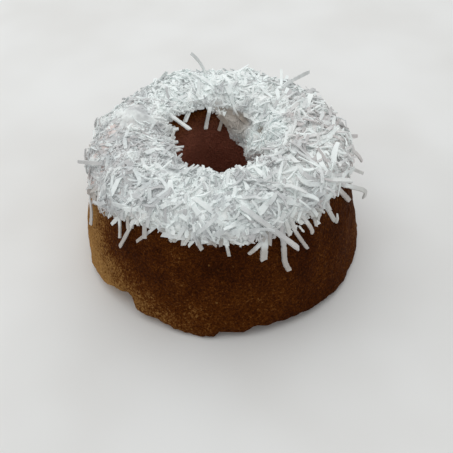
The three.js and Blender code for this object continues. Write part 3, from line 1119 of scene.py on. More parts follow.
@dataclass
class CoconutBed:
    """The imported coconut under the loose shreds, with fine matted relief."""

    section: RingSection
    blanket: Blanket
    finish: CoconutFinish = CoconutFinish("packed_coconut")
    columns: int = 860
    rows: int = 100
    under_step: int = 16
    under_depth: float = 0.8
    edge_depth: float = 0.6
    inner_round: float = 0.05
    outer_round: float = 0.07
    sunk: float = 0.1
    clump_raise: float = 1.6
    clump_smoothing: float = 0.5
    bare_loss: float = 0.9
    bare_film: float = 0.5
    bare_smoothing: float = 0.8
    bare_dim: float = 0.95
    matting: Layers = ((0.7, 2.6, 21), (0.4, 1.3, 22), (0.6, 5.5, 23))
    shade: float = 0.3
    matted_shade: float = 0.3
    hollow_painted_shade: float = 0.5
    glaze_patches: tuple[float, int] = (7.0, 24)
    glaze_from: Span = (-0.1, 0.5)
    matted_glaze: float = 0.4
    warmth: float = 0.12
    warmer: Side = Side(-10.0, 60.0, 0.2)

    def build(self) -> bpy.types.Object:
        """A closed grid: upper rows at the coconut's thickness, lower ones just inside the ring.

        Returns:
            The dressed bed.
        """
        blanket = self.blanket
        column = np.linspace(0.0, TAU, self.columns, endpoint=False)
        turn, share = np.meshgrid(column, np.linspace(0.0, 1.0, self.rows))
        place = blanket.place(turn, share)
        rounded = smooth(0.0, self.inner_round, share) * smooth(0.0, self.outer_round, 1.0 - share)
        bare, clump = blanket.bare(turn, place), blanket.clump.at(turn, place)
        sunk = self.sunk - self.clump_raise * clump + blanket.hollow.at(turn, place)
        packed = (blanket.thickness(turn, place) - sunk) * (1.0 - self.bare_loss * bare)
        lift = rounded * (packed + self.bare_film * bare) - self.edge_depth * (1.0 - rounded)
        upper, _, _, out = self.section.surface(turn, place, lift)
        matted = layered(upper, self.matting)
        rough = (1.0 - self.bare_smoothing * bare) * (1.0 - self.clump_smoothing * clump)
        upper = upper + out * (rounded * rough * matted)[..., None]
        below = place[:: -self.under_step][:-1]
        lower, _, _, _ = self.section.surface(column, below, -self.under_depth)
        piece = ring_object("coconut_bed", np.concatenate([upper, lower]))
        self.dress(piece, turn, share, upper, matted)
        return piece

    def dress(
        self, piece: bpy.types.Object, turn: Array, share: Array, upper: Array, matted: Array
    ) -> None:
        """Paints the bed: clearer by side, painted shade in the clump's hollow and the hole, painted
        light in the hole's right side, blushed where thin, dim where bare.

        Args:
            piece: the bed.
            turn: angles of its upper rows.
            share: how far from the inner edge they are.
            upper: their points.
            matted: the relief there.
        """
        blanket = self.blanket
        place = blanket.place(turn, share)
        # painted light whitens the bed and takes away its blush in the hole's right side
        painted_light = blanket.painted_light(turn, upper)
        tone = blanket.side_tone(turn) + blanket.mottle(upper) - blanket.light_whitening * painted_light
        # painted shade in the clump's hollow
        tone = tone + self.hollow_painted_shade * blanket.hollow.at(turn, place)
        shade = np.clip(self.shade - self.matted_shade * matted + tone, 0.0, 1.0)
        open_to = noise(upper, *self.glaze_patches) - self.matted_glaze * matted
        seen = blanket.thin(turn, share) * smooth(*self.glaze_from, open_to)
        warm = (self.warmth + self.warmer.at(turn)) * (1.0 - painted_light)
        blush = lerp(warm, 1.0, seen)
        # the bare band's crust, and the painted shade in the hole
        dim = np.maximum(self.bare_dim * blanket.bare(turn, place), blanket.dim(turn, place))
        hidden = len(piece.data.vertices) // self.columns - self.rows
        coats = ((Coat.SHADE, shade, 1.0), (Coat.BLUSH, blush, 1.0), (Coat.THINNED, dim, 0.0))
        for coat, values, under in coats:
            paint(piece, coat, np.pad(values, ((0, hidden), (0, 0)), constant_values=under))
        piece.data.materials.append(self.finish.material())


@dataclass(frozen=True)
class ShredSize:
    """How many shreds of a kind there are, what they measure in millimetres and how they lie."""

    count: int
    length: Span
    width: Span
    depth: Span
    stations: int
    tilt: float
    tufted: float
    level: Span
    favours: float
    seed: int


class ShredKind(Enum):
    """The kinds of shred that a grater leaves."""

    LONG = ShredSize(
        460, (9.0, 22.0), (1.2, 3.1), (0.4, 0.8), stations=7,
        tilt=8.0, tufted=0.3, level=(0.85, 1.12), favours=1.2, seed=31,
    )
    MIDDLING = ShredSize(
        2300, (5.0, 12.5), (0.9, 2.7), (0.3, 0.6), stations=5,
        tilt=13.0, tufted=0.38, level=(0.75, 1.08), favours=0.8, seed=32,
    )
    FINE = ShredSize(
        4700, (2.2, 6.2), (0.85, 2.3), (0.25, 0.5), stations=4,
        tilt=17.0, tufted=0.3, level=(0.74, 1.08), favours=-0.4, seed=33,
    )
    CRUMB = ShredSize(
        8000, (0.8, 2.0), (0.8, 1.8), (0.5, 1.0), stations=3,
        tilt=20.0, tufted=0.0, level=(0.8, 1.12), favours=-0.8, seed=34,
    )


class ShredSection(Enum):
    """Corners of a shred's section, as shares of half its width and half its depth."""

    RIBBON = ((-1.0, -0.9), (0.9, -1.0), (1.0, 0.8), (-0.85, 1.0))
    DIAMOND = ((-1.0, 0.0), (0.0, -1.0), (1.0, 0.0), (0.0, 1.0))


@dataclass(frozen=True)
class EdgeShreds:
    """Shreds that stand out along an edge of the coconut: how many, where, which way, what size."""

    count: int
    seed: int
    outer: bool
    turns: Span
    inset: Span
    aim: float
    aim_spread: float
    aim_limit: float
    rise: Span
    bend: Span
    length: Span
    skew: float
    width: Span
    root: Span
    stations: int
    longer: Side = Side(0.0, 1.0, 0.0)
    flatter: float = 0.0
    lower: float = 0.0


class Edging(Enum):
    """The shreds that hang out round the outer edge, and those that stand round the hole."""

    FRINGE_SHREDS = EdgeShreds(
        count=300, seed=36, outer=True, turns=(0.0, 360.0), inset=(-2.0, -9.0),
        aim=0.0, aim_spread=45.0, aim_limit=95.0, rise=(-2.0, 32.0), bend=(-0.2, -1.6),
        length=(4.0, 10.5), skew=1.3, width=(1.4, 2.8), root=(2.4, 2.4), stations=6,
    )
    RIM_TUFTS = EdgeShreds(
        count=200, seed=38, outer=False, turns=(-240.0, 5.0), inset=(1.5, 8.0),
        aim=180.0, aim_spread=50.0, aim_limit=110.0, rise=(10.0, 65.0), bend=(-0.8, 0.3),
        length=(2.0, 6.0), skew=1.5, width=(0.8, 2.2), root=(2.4, 4.0), stations=5,
        longer=Side(-180.0, 45.0, 0.6), flatter=0.3, lower=1.8,
    )


@dataclass(frozen=True)
class Stray:
    """A shred that stands clear: where its root is, which way it leaves, its size and its bend."""

    turn: float
    place: float
    heading: float
    rise: float
    bend: float
    length: float
    width: float
    hook: float = 0.0
    root: float = 4.0
    twist: float = 0.0


STRAYS = (
    Stray(98, 1, 66, 80, -43, 17, 2.0, root=5.0),
    Stray(43, 5, -4, 11, -4, 20, 2.4, root=6.0, twist=65),
    Stray(47, 5, 39, 8, 4, 13, 1.8, root=5.5),
    Stray(-150, 9, -59, -13, 7, 34, 2.2, root=5.6),
    Stray(-163, 42, 45, -9, 24, 15, 2.1, root=2.5),
    Stray(-128, 26, -24, -15, 7, 23, 2.2),
    Stray(-136, 31, 10, -2, 10, 10, 1.9, root=2.5),
    Stray(-120, 27, -40, -14, 31, 12, 1.7, root=2.5),
    Stray(-101, 25, 26, -13, -3, 8, 2.4),
    Stray(-80, 14, 47, -10, -5, 34, 2.8, root=6.2),
    Stray(-66, 32, 0, -4, 69, 21, 2.8, hook=0.76, root=2.5),
    Stray(-61, 28, 23, -10, 18, 18, 2.0, root=2.5),
    Stray(-43, 26, 1, 17, 152, 17, 2.4, hook=0.7, root=2.5),
    Stray(-55, 27, 15, 45, -79, 11, 2.2, root=2.5),
    Stray(-32, 26, 34, -7, -3, 20, 2.8, root=2.5),
    Stray(-74, 31, -9, -1, 7, 10, 3.6, root=2.5),
    Stray(-77, 32, -58, 12, -15, 6, 2.4, root=2.5),
    Stray(-29, 26, 23, 57, -87, 21, 2.4, hook=0.6, root=3.5),
    Stray(-11, 33, 33, 25, 0, 13, 2.2, root=2.5, twist=50),
    Stray(-9, 21, 8, 24, -36, 15, 2.2, twist=40),
    Stray(-47, 11, 54, 6, -6, 26, 2.8, root=5.6),
    Stray(151, -15, 173, 12, -3, 17, 2.4, root=5.5),
    Stray(102, -23, 159, -34, 60, 11, 2.3),
    Stray(85, -26, 164, -5, 7, 9, 2.2, root=2.5),
    Stray(-89, 29, 10, -17, 38, 7, 1.6, root=2.5),
    Stray(125, -20, 132, -6, -10, 7, 1.6),
    Stray(167, 22, -92, 47, 9, 6, 1.8),
    Stray(-2, 19, 38, 2, 15, 16, 2.4, twist=45),
)


@dataclass(frozen=True)
class Laid:
    """A shred that lies on top: turn and place of its two ends, its width and sideways curve."""

    turn: float
    place: float
    end_turn: float
    end_place: float
    width: float
    curve: float = 0.0


LAID = (
    Laid(-137, 28, -141, 37, 2.2),
    Laid(-140, 28, -144, 35, 1.2),
    Laid(-132, 7, -118, 7, 2.1, 0.25),
    Laid(-118, 7, -121, 15, 2.1),
    Laid(-111, 10, -116, 15, 2.5),
    Laid(-127, 6, -124, -2, 1.9),
    Laid(-119, 2, -111, 10, 3.1, -0.1),
    Laid(-103, 9, -90, 17, 2.8, 0.05),
    Laid(-108, 16, -101, 19, 2.5),
    Laid(-99, 18, -103, 25, 2.8),
    Laid(-100, 23, -104, 31, 1.9),
    Laid(-97, 20, -98, 28, 2.5),
    Laid(-142, 6, -131, 11, 2.5, 0.1),
    Laid(-147, -1, -135, 2, 1.9),
    Laid(-137, -4, -122, -2, 3.1),
    Laid(-131, 21, -134, 29, 1.9),
    Laid(-151, 17, -150, 23, 1.6),
    Laid(-148, 11, -147, 16, 1.4),
    Laid(-76, 20, -82, 29, 3.1),
    Laid(-77, 24, -75, 32, 1.9),
    Laid(-75, 23, -72, 31, 2.5),
    Laid(-64, 22, -59, 29, 2.5, -0.15),
    Laid(-58, 29, -56, 34, 1.0),
    Laid(-67, 24, -62, 31, 2.5),
    Laid(-51, 25, -48, 35, 2.5),
    Laid(-47, 13, -58, 17, 2.2),
    Laid(-44, 19, -50, 19, 2.5),
    Laid(-39, 19, -39, 23, 2.5),
    Laid(-65, 10, -75, 11, 3.1),
    Laid(-67, 11, -75, 16, 3.7),
    Laid(-80, 11, -78, 19, 3.7),
    Laid(-51, 10, -26, 21, 2.5, -0.1),
    Laid(-55, 2, -44, 5, 3.1),
    Laid(-39, 14, -30, 27, 3.5, 0.1),
    Laid(-66, 13, -56, 18, 3.1),
    Laid(-80, 18, -87, 19, 2.5),
    Laid(-80, 20, -87, 22, 3.1),
    Laid(-95, 26, -88, 28, 3.1),
    Laid(27, 9, 14, -1, 3.5),
    Laid(14, 14, 10, 6, 2.5),
    Laid(34, 2, 30, -6, 1.6),
    Laid(38, -10, 22, -10, 1.4, -0.1),
    Laid(23, -10, 9, -14, 3.5),
    Laid(1, 15, -17, 6, 2.5),
    Laid(-27, -2, -54, -4, 3.1),
    Laid(-18, 5, -28, -1, 2.5),
    Laid(-5, -25, 6, -18, 1.6, -0.3),
    Laid(127, -20, 138, -24, 1.6),
    Laid(151, -22, 172, -22, 1.9),
    Laid(-158, -20, -139, -9, 1.9),
    Laid(-176, -5, -174, 0, 1.4),
    Laid(-179, -2, 178, -8, 1.9),
    Laid(-149, -4, -149, -15, 2.5),
    Laid(138, -8, 153, -13, 1.9),
    Laid(90, -25, 72, -32, 3.1),
    Laid(63, -25, 41, -29, 2.5),
    Laid(58, -23, 30, -23, 2.5),
    Laid(76, -13, 64, -25, 1.2, -0.15),
    Laid(124, -19, 106, -20, 1.9),
)


@dataclass
class Strips:
    """Many bent strips as arrays: centre lines and outward directions by station, and their cut."""

    centre: Array
    out: Array
    width: Array
    depth: Array
    twist: Array
    shade: Array
    thinned: Array
    slant: Array
    section: ShredSection = ShredSection.RIBBON

    @staticmethod
    def stations(count: int) -> tuple[Array, Array]:
        """Even places from -0.5 to 0.5 along a strip, and shares of its width, less at the tips."""
        part = np.linspace(-0.5, 0.5, count)
        return part, np.where(np.abs(part) == 0.5, TIP_WIDTH, 1.0)

    def points(self) -> Array:
        """The section's corners at each station: to the side and up, twisted, the ends cut aslant.

        Returns:
            Points by strip, station and corner.
        """
        along = unit(np.gradient(self.centre, axis=1))
        side = unit(np.cross(self.out, along))
        face = np.cross(along, side)
        cos, sin = np.cos(self.twist)[..., None], np.sin(self.twist)[..., None]
        side, face = side * cos + face * sin, face * cos - side * sin
        corners = 0.5 * np.array(self.section.value)
        sideways = (self.width[..., None] * corners[:, 0])[..., None] * side[..., None, :]
        upwards = (self.depth[..., None] * corners[:, 1])[..., None] * face[..., None, :]
        ends = np.zeros(self.centre.shape[1])
        ends[[0, -1]] = 1.0
        shift = (self.slant[:, None] * ends * self.width)[..., None] * corners[:, 0]
        lengthways = shift[..., None] * along[..., None, :]
        return self.centre[..., None, :] + sideways + upwards + lengthways

    def crisp(self, mesh: bpy.types.Mesh) -> None:
        """Marks the edges along each strip and round its ends as sharp.

        Args:
            mesh: the strips' mesh, so that its faces are flat and bend smoothly.
        """
        ends = np.empty(2 * len(mesh.edges), np.int32)
        mesh.edges.foreach_get("vertices", ends)
        stations = self.centre.shape[1]
        first, second = (ends.reshape(-1, 2) // len(self.section.value)).T
        tip = (first % stations == 0) | (first % stations == stations - 1)
        mesh.edges.foreach_set("use_edge_sharp", (first != second) | tip)

    def faces(self) -> Array:
        """The sides between each two stations and a cap at each end, for every strip.

        Returns:
            Four vertex numbers for each face.
        """
        count, stations = self.centre.shape[:2]
        sides = len(self.section.value)
        station, corner = np.meshgrid(np.arange(stations - 1), np.arange(sides), indexing="ij")
        near, beside = station * sides, (corner + 1) % sides
        far = near + sides
        walls = np.stack([near + corner, near + beside, far + beside, far + corner], axis=-1)
        cap = np.arange(sides)[None]
        one = np.concatenate([walls.reshape(-1, 4), cap[:, ::-1], cap + sides * (stations - 1)])
        return (one[None] + sides * stations * np.arange(count)[:, None, None]).reshape(-1, 4)


@dataclass(frozen=True)
class Cut:
    """How unevenly shreds were cut: in width, in twist at the middle and along, and at the ends."""

    ragged: float
    twist: float
    curl: float
    slant: float

    def widths(self, shape: tuple[int, ...], draw: np.random.Generator) -> Array:
        """Shares of the width, one for each station."""
        return 1.0 + self.ragged * draw.normal(0.0, 1.0, shape)

    def curls(self, count: int, part: Array, draw: np.random.Generator) -> Array:
        """Twists that grow along each shred."""
        return draw.normal(0.0, self.curl, count)[:, None] * part

    def twists(self, count: int, part: Array, draw: np.random.Generator) -> Array:
        """Twists of whole shreds, with the curls along them."""
        return draw.normal(0.0, self.twist, count)[:, None] + self.curls(count, part, draw)

    def slants(self, count: int, draw: np.random.Generator) -> Array:
        """Slants of the ends, one for each shred."""
        return draw.uniform(-self.slant, self.slant, count)


@dataclass(frozen=True)
class Coarseness:
    """Where coarse shreds lie: on the right and by the outer edge, not on the left or in front."""

    right: Side = Side(0.0, 75.0)
    left: Side = Side(175.0, 50.0, -1.0)
    front: Side = Side(-100.0, 45.0, -1.2)
    inner: Span = (0.3, 0.6)
    outer: Span = (0.6, 0.95)

    def at(self, turn: Array, share: Array) -> Array:
        """More than 0 where shreds are coarse, less where they are fine."""
        front = self.front.at(turn) * (1.0 - smooth(*self.inner, share))
        return self.right.at(turn) + smooth(*self.outer, share) + self.left.at(turn) + front


@dataclass(frozen=True)
class Combing:
    """Which way strewn shreds point: any way, but some with their neighbours.

    By the outer edge most hang down, and on the right some are swept one way.
    """

    alike: float = 0.35
    alike_spread: float = 0.6
    alike_noise: tuple[float, int] = (15.0, 43)
    hanging: float = 0.75
    hanging_from: Span = (0.86, 1.0)
    hanging_spread: float = 0.7
    swept: Side = Side(5.0, 60.0, 0.45)
    swept_way: float = 45.0
    swept_spread: float = 0.8

    def headings(
        self, turn: Array, share: Array, flat: Array, draw: np.random.Generator
    ) -> Array:
        """Draws a heading for each shred, from down the slope.

        Args:
            turn: where they lie round the axis.
            share: how far they lie from the inner edge.
            flat: where they lie when the slope is rolled out.
            draw: the source of chance.

        Returns:
            Angles in radians.
        """
        count = len(turn)
        heading = TAU * draw.random(count)
        common = TAU * noise(flat, *self.alike_noise)
        alike = draw.random(count) < self.alike
        heading = np.where(alike, common + draw.normal(0.0, self.alike_spread, count), heading)
        edge = smooth(*self.hanging_from, share)
        hanging = draw.random(count) < self.hanging * edge
        heading = np.where(hanging, draw.normal(0.0, self.hanging_spread, count), heading)
        swept = draw.random(count) < self.swept.at(turn) * (1.0 - edge)
        one_way = math.radians(self.swept_way) - turn
        return np.where(swept, one_way + draw.normal(0.0, self.swept_spread, count), heading)


@dataclass(frozen=True)
class Shadow:
    """Painted shade on standing shreds, partly the dark crust seen through them: more the lower they
    hang on the flank, less on the right.
    """

    least: float = 0.15
    lower: float = 0.45
    lower_from: Span = (18.0, 24.0)
    lit: Side = Side(0.0, 38.0, 0.65)
    in_hole: float = 0.1
    along: Span = (0.05, 0.5)

    def at(self, turn: Array, place: Array, dim: Array) -> Array:
        """The dimness at the tip: by the place outside, and in the hole a little over its dim."""
        outside = self.least + self.lower * smooth(*self.lower_from, place)
        return np.where(place > 0.0, outside * (1.0 - self.lit.at(turn)), self.in_hole + dim)


@dataclass(frozen=True)
class Warmth:
    """The blush of shreds: more on the clearer ones, at both sides and low on the outer slope."""

    sides: tuple[Side, ...] = (Side(-170.0, 40.0, 0.7), Side(-5.0, 50.0))
    low: float = 0.7
    low_heights: Span = (74.0, 63.0)
    low_radii: Span = (50.0, 60.0)
    everywhere: float = 0.12
    by_shade: Span = (0.06, 0.36)

    def at(self, turn: Array, points: Array, shade: Array) -> Array:
        """The blush: a share of the shade, and more of it where the warmth is.

        Args:
            turn: angles round the axis.
            points: where the shreds are.
            shade: how clear they are.

        Returns:
            0 where there is none, to 1.
        """
        low = smooth(*self.low_heights, points[..., 2]) * smooth(*self.low_radii, off_axis(points))
        warm = sum(side.at(turn) for side in self.sides) + self.low * low
        return self.everywhere * shade + warm * lerp(*self.by_shade, shade)


@dataclass(frozen=True)
class Trails:
    """Where strewn shreds run: each one's middle and length, and turns and places along it."""

    turn: Array
    place: Array
    length: Array
    turns: Array
    places: Array


@dataclass
class ShreddedCoconut:
    """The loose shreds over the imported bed: one mesh for each kind."""

    section: RingSection
    blanket: Blanket
    finish: CoconutFinish = CoconutFinish("grated_coconut")
    coarseness: Coarseness = Coarseness()
    combing: Combing = Combing()
    shadow: Shadow = Shadow()
    warmth: Warmth = Warmth()
    strewn_cut: Cut = Cut(ragged=0.12, twist=0.3, curl=0.7, slant=0.6)
    laid_cut: Cut = Cut(ragged=0.08, twist=0.2, curl=0.5, slant=0.6)
    standing_cut: Cut = Cut(ragged=0.06, twist=0.0, curl=0.5, slant=0.5)
    stiff_radius: float = 34.0
    area_steps: int = 200
    crowding: int = 4
    clump_clearing: float = 1.5
    short_skew: float = 1.4
    wander: float = 0.7
    least_radius: float = 20.0
    past_outer: float = 1.6
    past_inner: float = 0.9
    loose: Span = (0.62, 1.0)
    loose_side: Side = Side(-50.0, 80.0)
    lip_flattening: float = 0.6
    tilt_limit: float = 40.0
    tuft_rise: Span = (14.0, 42.0)
    tuft_length: float = 8.0
    tuft_root: float = 0.4
    bow_spread: float = 0.04
    least_lift: float = 0.4
    strewn_shade: Span = (0.35, 0.33)
    strewn_taper: float = 0.3
    wide_skew: float = 1.5
    deep_shade: float = 0.95
    laid_seed: int = 37
    laid_stations: int = 7
    laid_proud: float = 0.9
    laid_lean: float = 0.09
    laid_depth: Span = (0.7, 1.1)
    laid_shade: Span = (0.0, 0.35)
    laid_dim: float = 1.3
    standing_seed: int = 35
    stray_stations: int = 19
    tuck: float = 3.0
    tuck_lift: float = 0.7
    hook_span: Span = (-0.14, 0.14)
    blunt: float = 0.85
    standing_depth: float = 0.9
    standing_depth_share: float = 0.42
    standing_shade: Span = (0.22, 0.2)
    pieces: list[bpy.types.Object] = field(default_factory=list)

    def sow(self, size: ShredSize, draw: np.random.Generator) -> tuple[Array, Array]:
        """Draws where a kind's shreds lie: evenly over the area, then by the odds for their size.

        Args:
            size: the kind's count and sizes.
            draw: the source of chance.

        Returns:
            Turns, and shares of the way from the inner to the outer edge.
        """
        many = self.crowding * size.count
        across = np.linspace(0.0, 1.0, self.area_steps)
        level = lerp(self.blanket.inner.level, self.blanket.outer.level, across)
        area = np.cumsum(self.section.at(level)[0][:, 0])
        share = np.interp(draw.random(many), area / area[-1], across)
        turn = TAU * draw.random(many)
        place = self.blanket.place(turn, share)
        odds = np.exp(size.favours * self.coarseness.at(turn, share))
        odds = odds * (1.0 - self.blanket.bare(turn, place))
        clear = np.minimum(self.clump_clearing * self.blanket.clump.at(turn, place), 1.0)
        odds = odds * (1.0 - clear)
        chosen = draw.choice(many, size.count, replace=False, p=odds / odds.sum())
        return turn[chosen], share[chosen]

    def trails(self, size: ShredSize, draw: np.random.Generator) -> Trails:
        """Runs of short steps over the surface: turn and place advance along a heading that drifts.

        A run that passes an edge by more than chance allows is moved back.

        Args:
            size: the kind's count and sizes.
            draw: the source of chance.

        Returns:
            The runs.
        """
        turn, share = self.sow(size, draw)
        place = self.blanket.place(turn, share)
        part, _ = Strips.stations(size.stations)
        length = lerp(*size.length, draw.random(size.count) ** self.short_skew)
        flat = self.blanket.flat(turn, place)
        course = self.combing.headings(turn, share, flat, draw)[:, None]
        course = course + draw.normal(0.0, self.wander, size.count)[:, None] * part
        step = length[:, None] * np.gradient(part)
        down, around = (np.cumsum(f(course) * step, axis=1) for f in (np.cos, np.sin))
        radius = np.maximum(self.section.at(place)[0][:, :1], self.least_radius)
        turns = turn[:, None] + (around - around.mean(axis=1, keepdims=True)) / radius
        places = place[:, None] + (down - down.mean(axis=1, keepdims=True))
        past = (places - self.blanket.outer.at(turns)).max(axis=1)
        past = past - draw.exponential(self.past_outer, size.count)
        short = (self.blanket.inner.at(turns) - places).max(axis=1)
        short = short - draw.exponential(self.past_inner, size.count)
        places = places + (np.maximum(short, 0.0) - np.maximum(past, 0.0))[:, None]
        return Trails(turn, place, length, turns, places)

    def scattered(self, size: ShredSize) -> Strips:
        """Shreds strewn over the coconut's area.

        The height is a level in the pile plus a tilt and a bow along the length. A tuft is a shred
        whose near end is buried and whose far end rises.

        Args:
            size: the kind's count and sizes.

        Returns:
            The strips.
        """
        count, draw = size.count, np.random.default_rng(size.seed)
        trails = self.trails(size, draw)
        length, turns, places = trails.length, trails.turns, trails.places
        part, tips = Strips.stations(size.stations)
        tuft = draw.random(count) < size.tufted
        loose = lerp(*self.loose, self.loose_side.at(trails.turn))
        loose = loose * (1.0 - self.lip_flattening * self.blanket.lip(trails.turn, trails.place))
        lean = draw.normal(0.0, size.tilt, count)
        lean = np.clip(lean, -self.tilt_limit, self.tilt_limit) * loose
        rise = draw.uniform(*self.tuft_rise, count)
        rise = rise * np.minimum(1.0, self.tuft_length / length) * loose
        slope = np.tan(np.radians(np.where(tuft, rise, lean)))
        level = draw.uniform(*size.level, count)
        bow = draw.random(count) * length**2 / (2 * self.stiff_radius)
        bow = bow + draw.normal(0.0, self.bow_spread, count) * length
        lift = self.blanket.pile(turns, places) * level[:, None] + bow[:, None] * part**2
        from_root = part + np.where(tuft, self.tuft_root, 0.0)[:, None]
        lift = np.maximum(lift + (slope * length)[:, None] * from_root, self.least_lift)
        centre, _, _, out = self.section.surface(turns, places, lift)
        ragged = self.strewn_cut.widths(turns.shape, draw)
        taper = draw.uniform(0.0, self.strewn_taper, count)[:, None]
        taper = 1.0 - taper * np.maximum(2 * part, 0.0) ** 2
        width = lerp(*size.width, draw.random(count) ** self.wide_skew)[:, None]
        depth = lerp(*size.depth, draw.random(count))[:, None]
        twist = self.strewn_cut.twists(count, part, draw)
        # deeper shreds are painted clearer and darker: painted shade under the shreds above them
        shade = np.clip(draw.normal(*self.strewn_shade, count) + self.deep_shade - level, 0.0, 1.0)
        # the strewn shreds take the painted shade in the hole
        return Strips(
            centre,
            out,
            width=width * taper * tips * ragged,
            depth=depth * tips,
            twist=twist,
            shade=np.broadcast_to(shade[:, None], turns.shape),
            thinned=self.blanket.dim(turns, places),
            slant=self.strewn_cut.slants(count, draw),
            section=ShredSection.RIBBON if size.stations > 3 else ShredSection.DIAMOND,
        )

    def laid(self) -> Strips:
        """The shreds that show on top: a straight run between two ends, bowed to one side.

        Returns:
            The strips, at the pile's own height and with their ends a little raised.
        """
        rows = np.array([astuple(shred) for shred in LAID], float)
        count, draw = len(rows), np.random.default_rng(self.laid_seed)
        turn, place, end_turn, end_place, width, curve = rows.T
        part, tips = Strips.stations(self.laid_stations)
        swing = np.radians(np.mod(end_turn - turn + 180.0, 360.0) - 180.0)
        radius = self.section.at(0.5 * (place + end_place))[0][:, 0]
        run, drop = (swing * radius)[:, None], (end_place - place)[:, None]
        bow = curve[:, None] * (0.25 - part**2) * 4.0
        turns = np.radians(turn)[:, None] + (run * (part + 0.5) + drop * bow) / radius[:, None]
        places = place[:, None] + drop * (part + 0.5) - run * bow
        length = np.hypot(run, drop)
        raised = length**2 / (2 * self.stiff_radius) * part**2
        lean = draw.normal(0.0, self.laid_lean, count)[:, None] * part * length
        lift = self.blanket.pile(turns, places) + self.laid_proud + raised + lean
        centre, _, _, out = self.section.surface(turns, places, lift)
        ragged = self.laid_cut.widths(turns.shape, draw)
        depth = draw.uniform(*self.laid_depth, count)[:, None]
        twist = self.laid_cut.twists(count, part, draw)
        shade = draw.uniform(*self.laid_shade, count)[:, None]
        # the laid shreds in the hole take its painted shade, made stronger
        return Strips(
            centre,
            out,
            width=width[:, None] * tips * ragged,
            depth=depth * tips,
            twist=twist,
            shade=np.broadcast_to(shade, turns.shape),
            thinned=np.minimum(self.laid_dim * self.blanket.dim(turns, places), 1.0),
            slant=self.laid_cut.slants(count, draw),
        )

    def edging(self, kind: EdgeShreds) -> Array:
        """Draws the shreds that stand out along an edge, each value evenly over its span.

        Args:
            kind: their count and sizes.

        Returns:
            One row for each, as the strays are listed, with no hook and no twist.
        """
        count, draw = kind.count, np.random.default_rng(kind.seed)
        turn = lerp(*kind.turns, draw.random(count))
        angle = np.radians(turn)
        edge = self.blanket.outer if kind.outer else self.blanket.inner
        place = edge.at(angle) + lerp(*kind.inset, draw.random(count))
        heading = np.clip(draw.normal(0.0, kind.aim_spread, count), -kind.aim_limit, kind.aim_limit)
        front = self.blanket.front.at(angle)
        rise = lerp(*kind.rise, draw.random(count)) * (1.0 - kind.flatter * front)
        bend = lerp(*kind.bend, draw.random(count)) * rise
        length = lerp(*kind.length, draw.random(count) ** kind.skew)
        length = length * (1.0 + kind.longer.at(angle))
        width = lerp(*kind.width, draw.random(count))
        root = lerp(*kind.root, draw.random(count)) - kind.lower * front
        none = np.zeros(count)
        columns = (turn, place, kind.aim + heading, rise, bend, length, width, none, root, none)
        return np.stack(columns, axis=1)

    def standing(self, rows: Array, stations: int) -> Strips:
        """Shreds that stand clear, each tucked into the coconut and then an arc out of it.

        The arc leaves at its rise and turns by its bend, which is even where the hook is 0, and
        else falls at that share of the length.

        Args:
            rows: turn, place, heading, rise, bend, length, width, hook, root and twist of each,
                angles in degrees.
            stations: points along each.

        Returns:
            The strips, with painted shade where they hang clear of the coconut.
        """
        count, free = len(rows), stations - 2
        turn, place, heading, rise, bend, length, width, hook, lift, twist = rows.T
        turn, aim = np.radians(turn), np.radians(heading)
        root, down, around, out = self.section.surface(turn, place, lift)
        course = down * np.cos(aim)[:, None] + around * np.sin(aim)[:, None]
        tuck = np.maximum(place - self.blanket.outer.at(turn), 0.0) + self.tuck
        tucked_turn = turn - tuck * np.sin(aim) / off_axis(root)
        tucked_place = place - tuck * np.cos(aim)
        tucked, _, _, _ = self.section.surface(tucked_turn, tucked_place, self.tuck_lift * lift)
        part = np.broadcast_to((np.arange(free) + 0.5) / free, (count, free))
        late = smooth(*self.hook_span, part - hook[:, None])
        bent = bend[:, None] * np.where(hook[:, None] > 0.0, late, part)
        pitch = np.radians(rise[:, None] + bent)[..., None]
        moves = np.cos(pitch) * course[:, None] + np.sin(pitch) * out[:, None]
        moves = (length / free)[:, None, None] * moves
        ends = np.stack([tucked, root], axis=1)
        centre = np.concatenate([ends, root[:, None] + np.cumsum(moves, axis=1)], axis=1)
        tip = np.linspace(0.0, 1.0, stations)
        blunt = np.where(tip == 1.0, self.blunt, 1.0)
        # painted shade on hanging shreds, partly the crust seen through them
        shadow = self.shadow.at(turn, place, self.blanket.dim(turn, place))[:, None]
        draw = np.random.default_rng(self.standing_seed)
        ragged = self.standing_cut.widths((count, stations), draw)
        depth = np.maximum(self.standing_depth, self.standing_depth_share * width)[:, None]
        curl = self.standing_cut.curls(count, tip, draw)
        shade = np.clip(draw.normal(*self.standing_shade, count), 0.0, 1.0)[:, None]
        return Strips(
            centre,
            np.broadcast_to(out[:, None], centre.shape),
            width=width[:, None] * blunt * ragged,
            depth=depth * blunt,
            twist=np.radians(twist)[:, None] + curl,
            shade=np.broadcast_to(shade, (count, stations)),
            thinned=shadow * smooth(*self.shadow.along, tip),
            slant=self.standing_cut.slants(count, draw),
        )

    def lay(self, name: str, strips: Strips, material: bpy.types.Material) -> None:
        """Makes one mesh of all the strips of a kind and dresses it.

        Args:
            name: the piece's name.
            strips: its shreds.
            material: the coconut's material.
        """
        corners = strips.points()
        piece = mesh_object(name, corners, strips.faces(), True)
        strips.crisp(piece.data)
        self.dress(piece, strips, corners)
        piece.data.materials.append(material)
        self.pieces.append(piece)

    def dress(self, piece: bpy.types.Object, strips: Strips, corners: Array) -> None:
        """Paints each shred's shade, moved by the tone of its side and the mottle round it, whitened
        by painted light in the hole's right side, and a blush on the warmer sides.

        Args:
            piece: the mesh of the shreds.
            strips: the shreds.
            corners: their points by strip, station and corner.
        """
        blanket = self.blanket
        turn = np.arctan2(corners[..., 1], corners[..., 0])
        shade = np.broadcast_to(strips.shade[..., None], turn.shape)
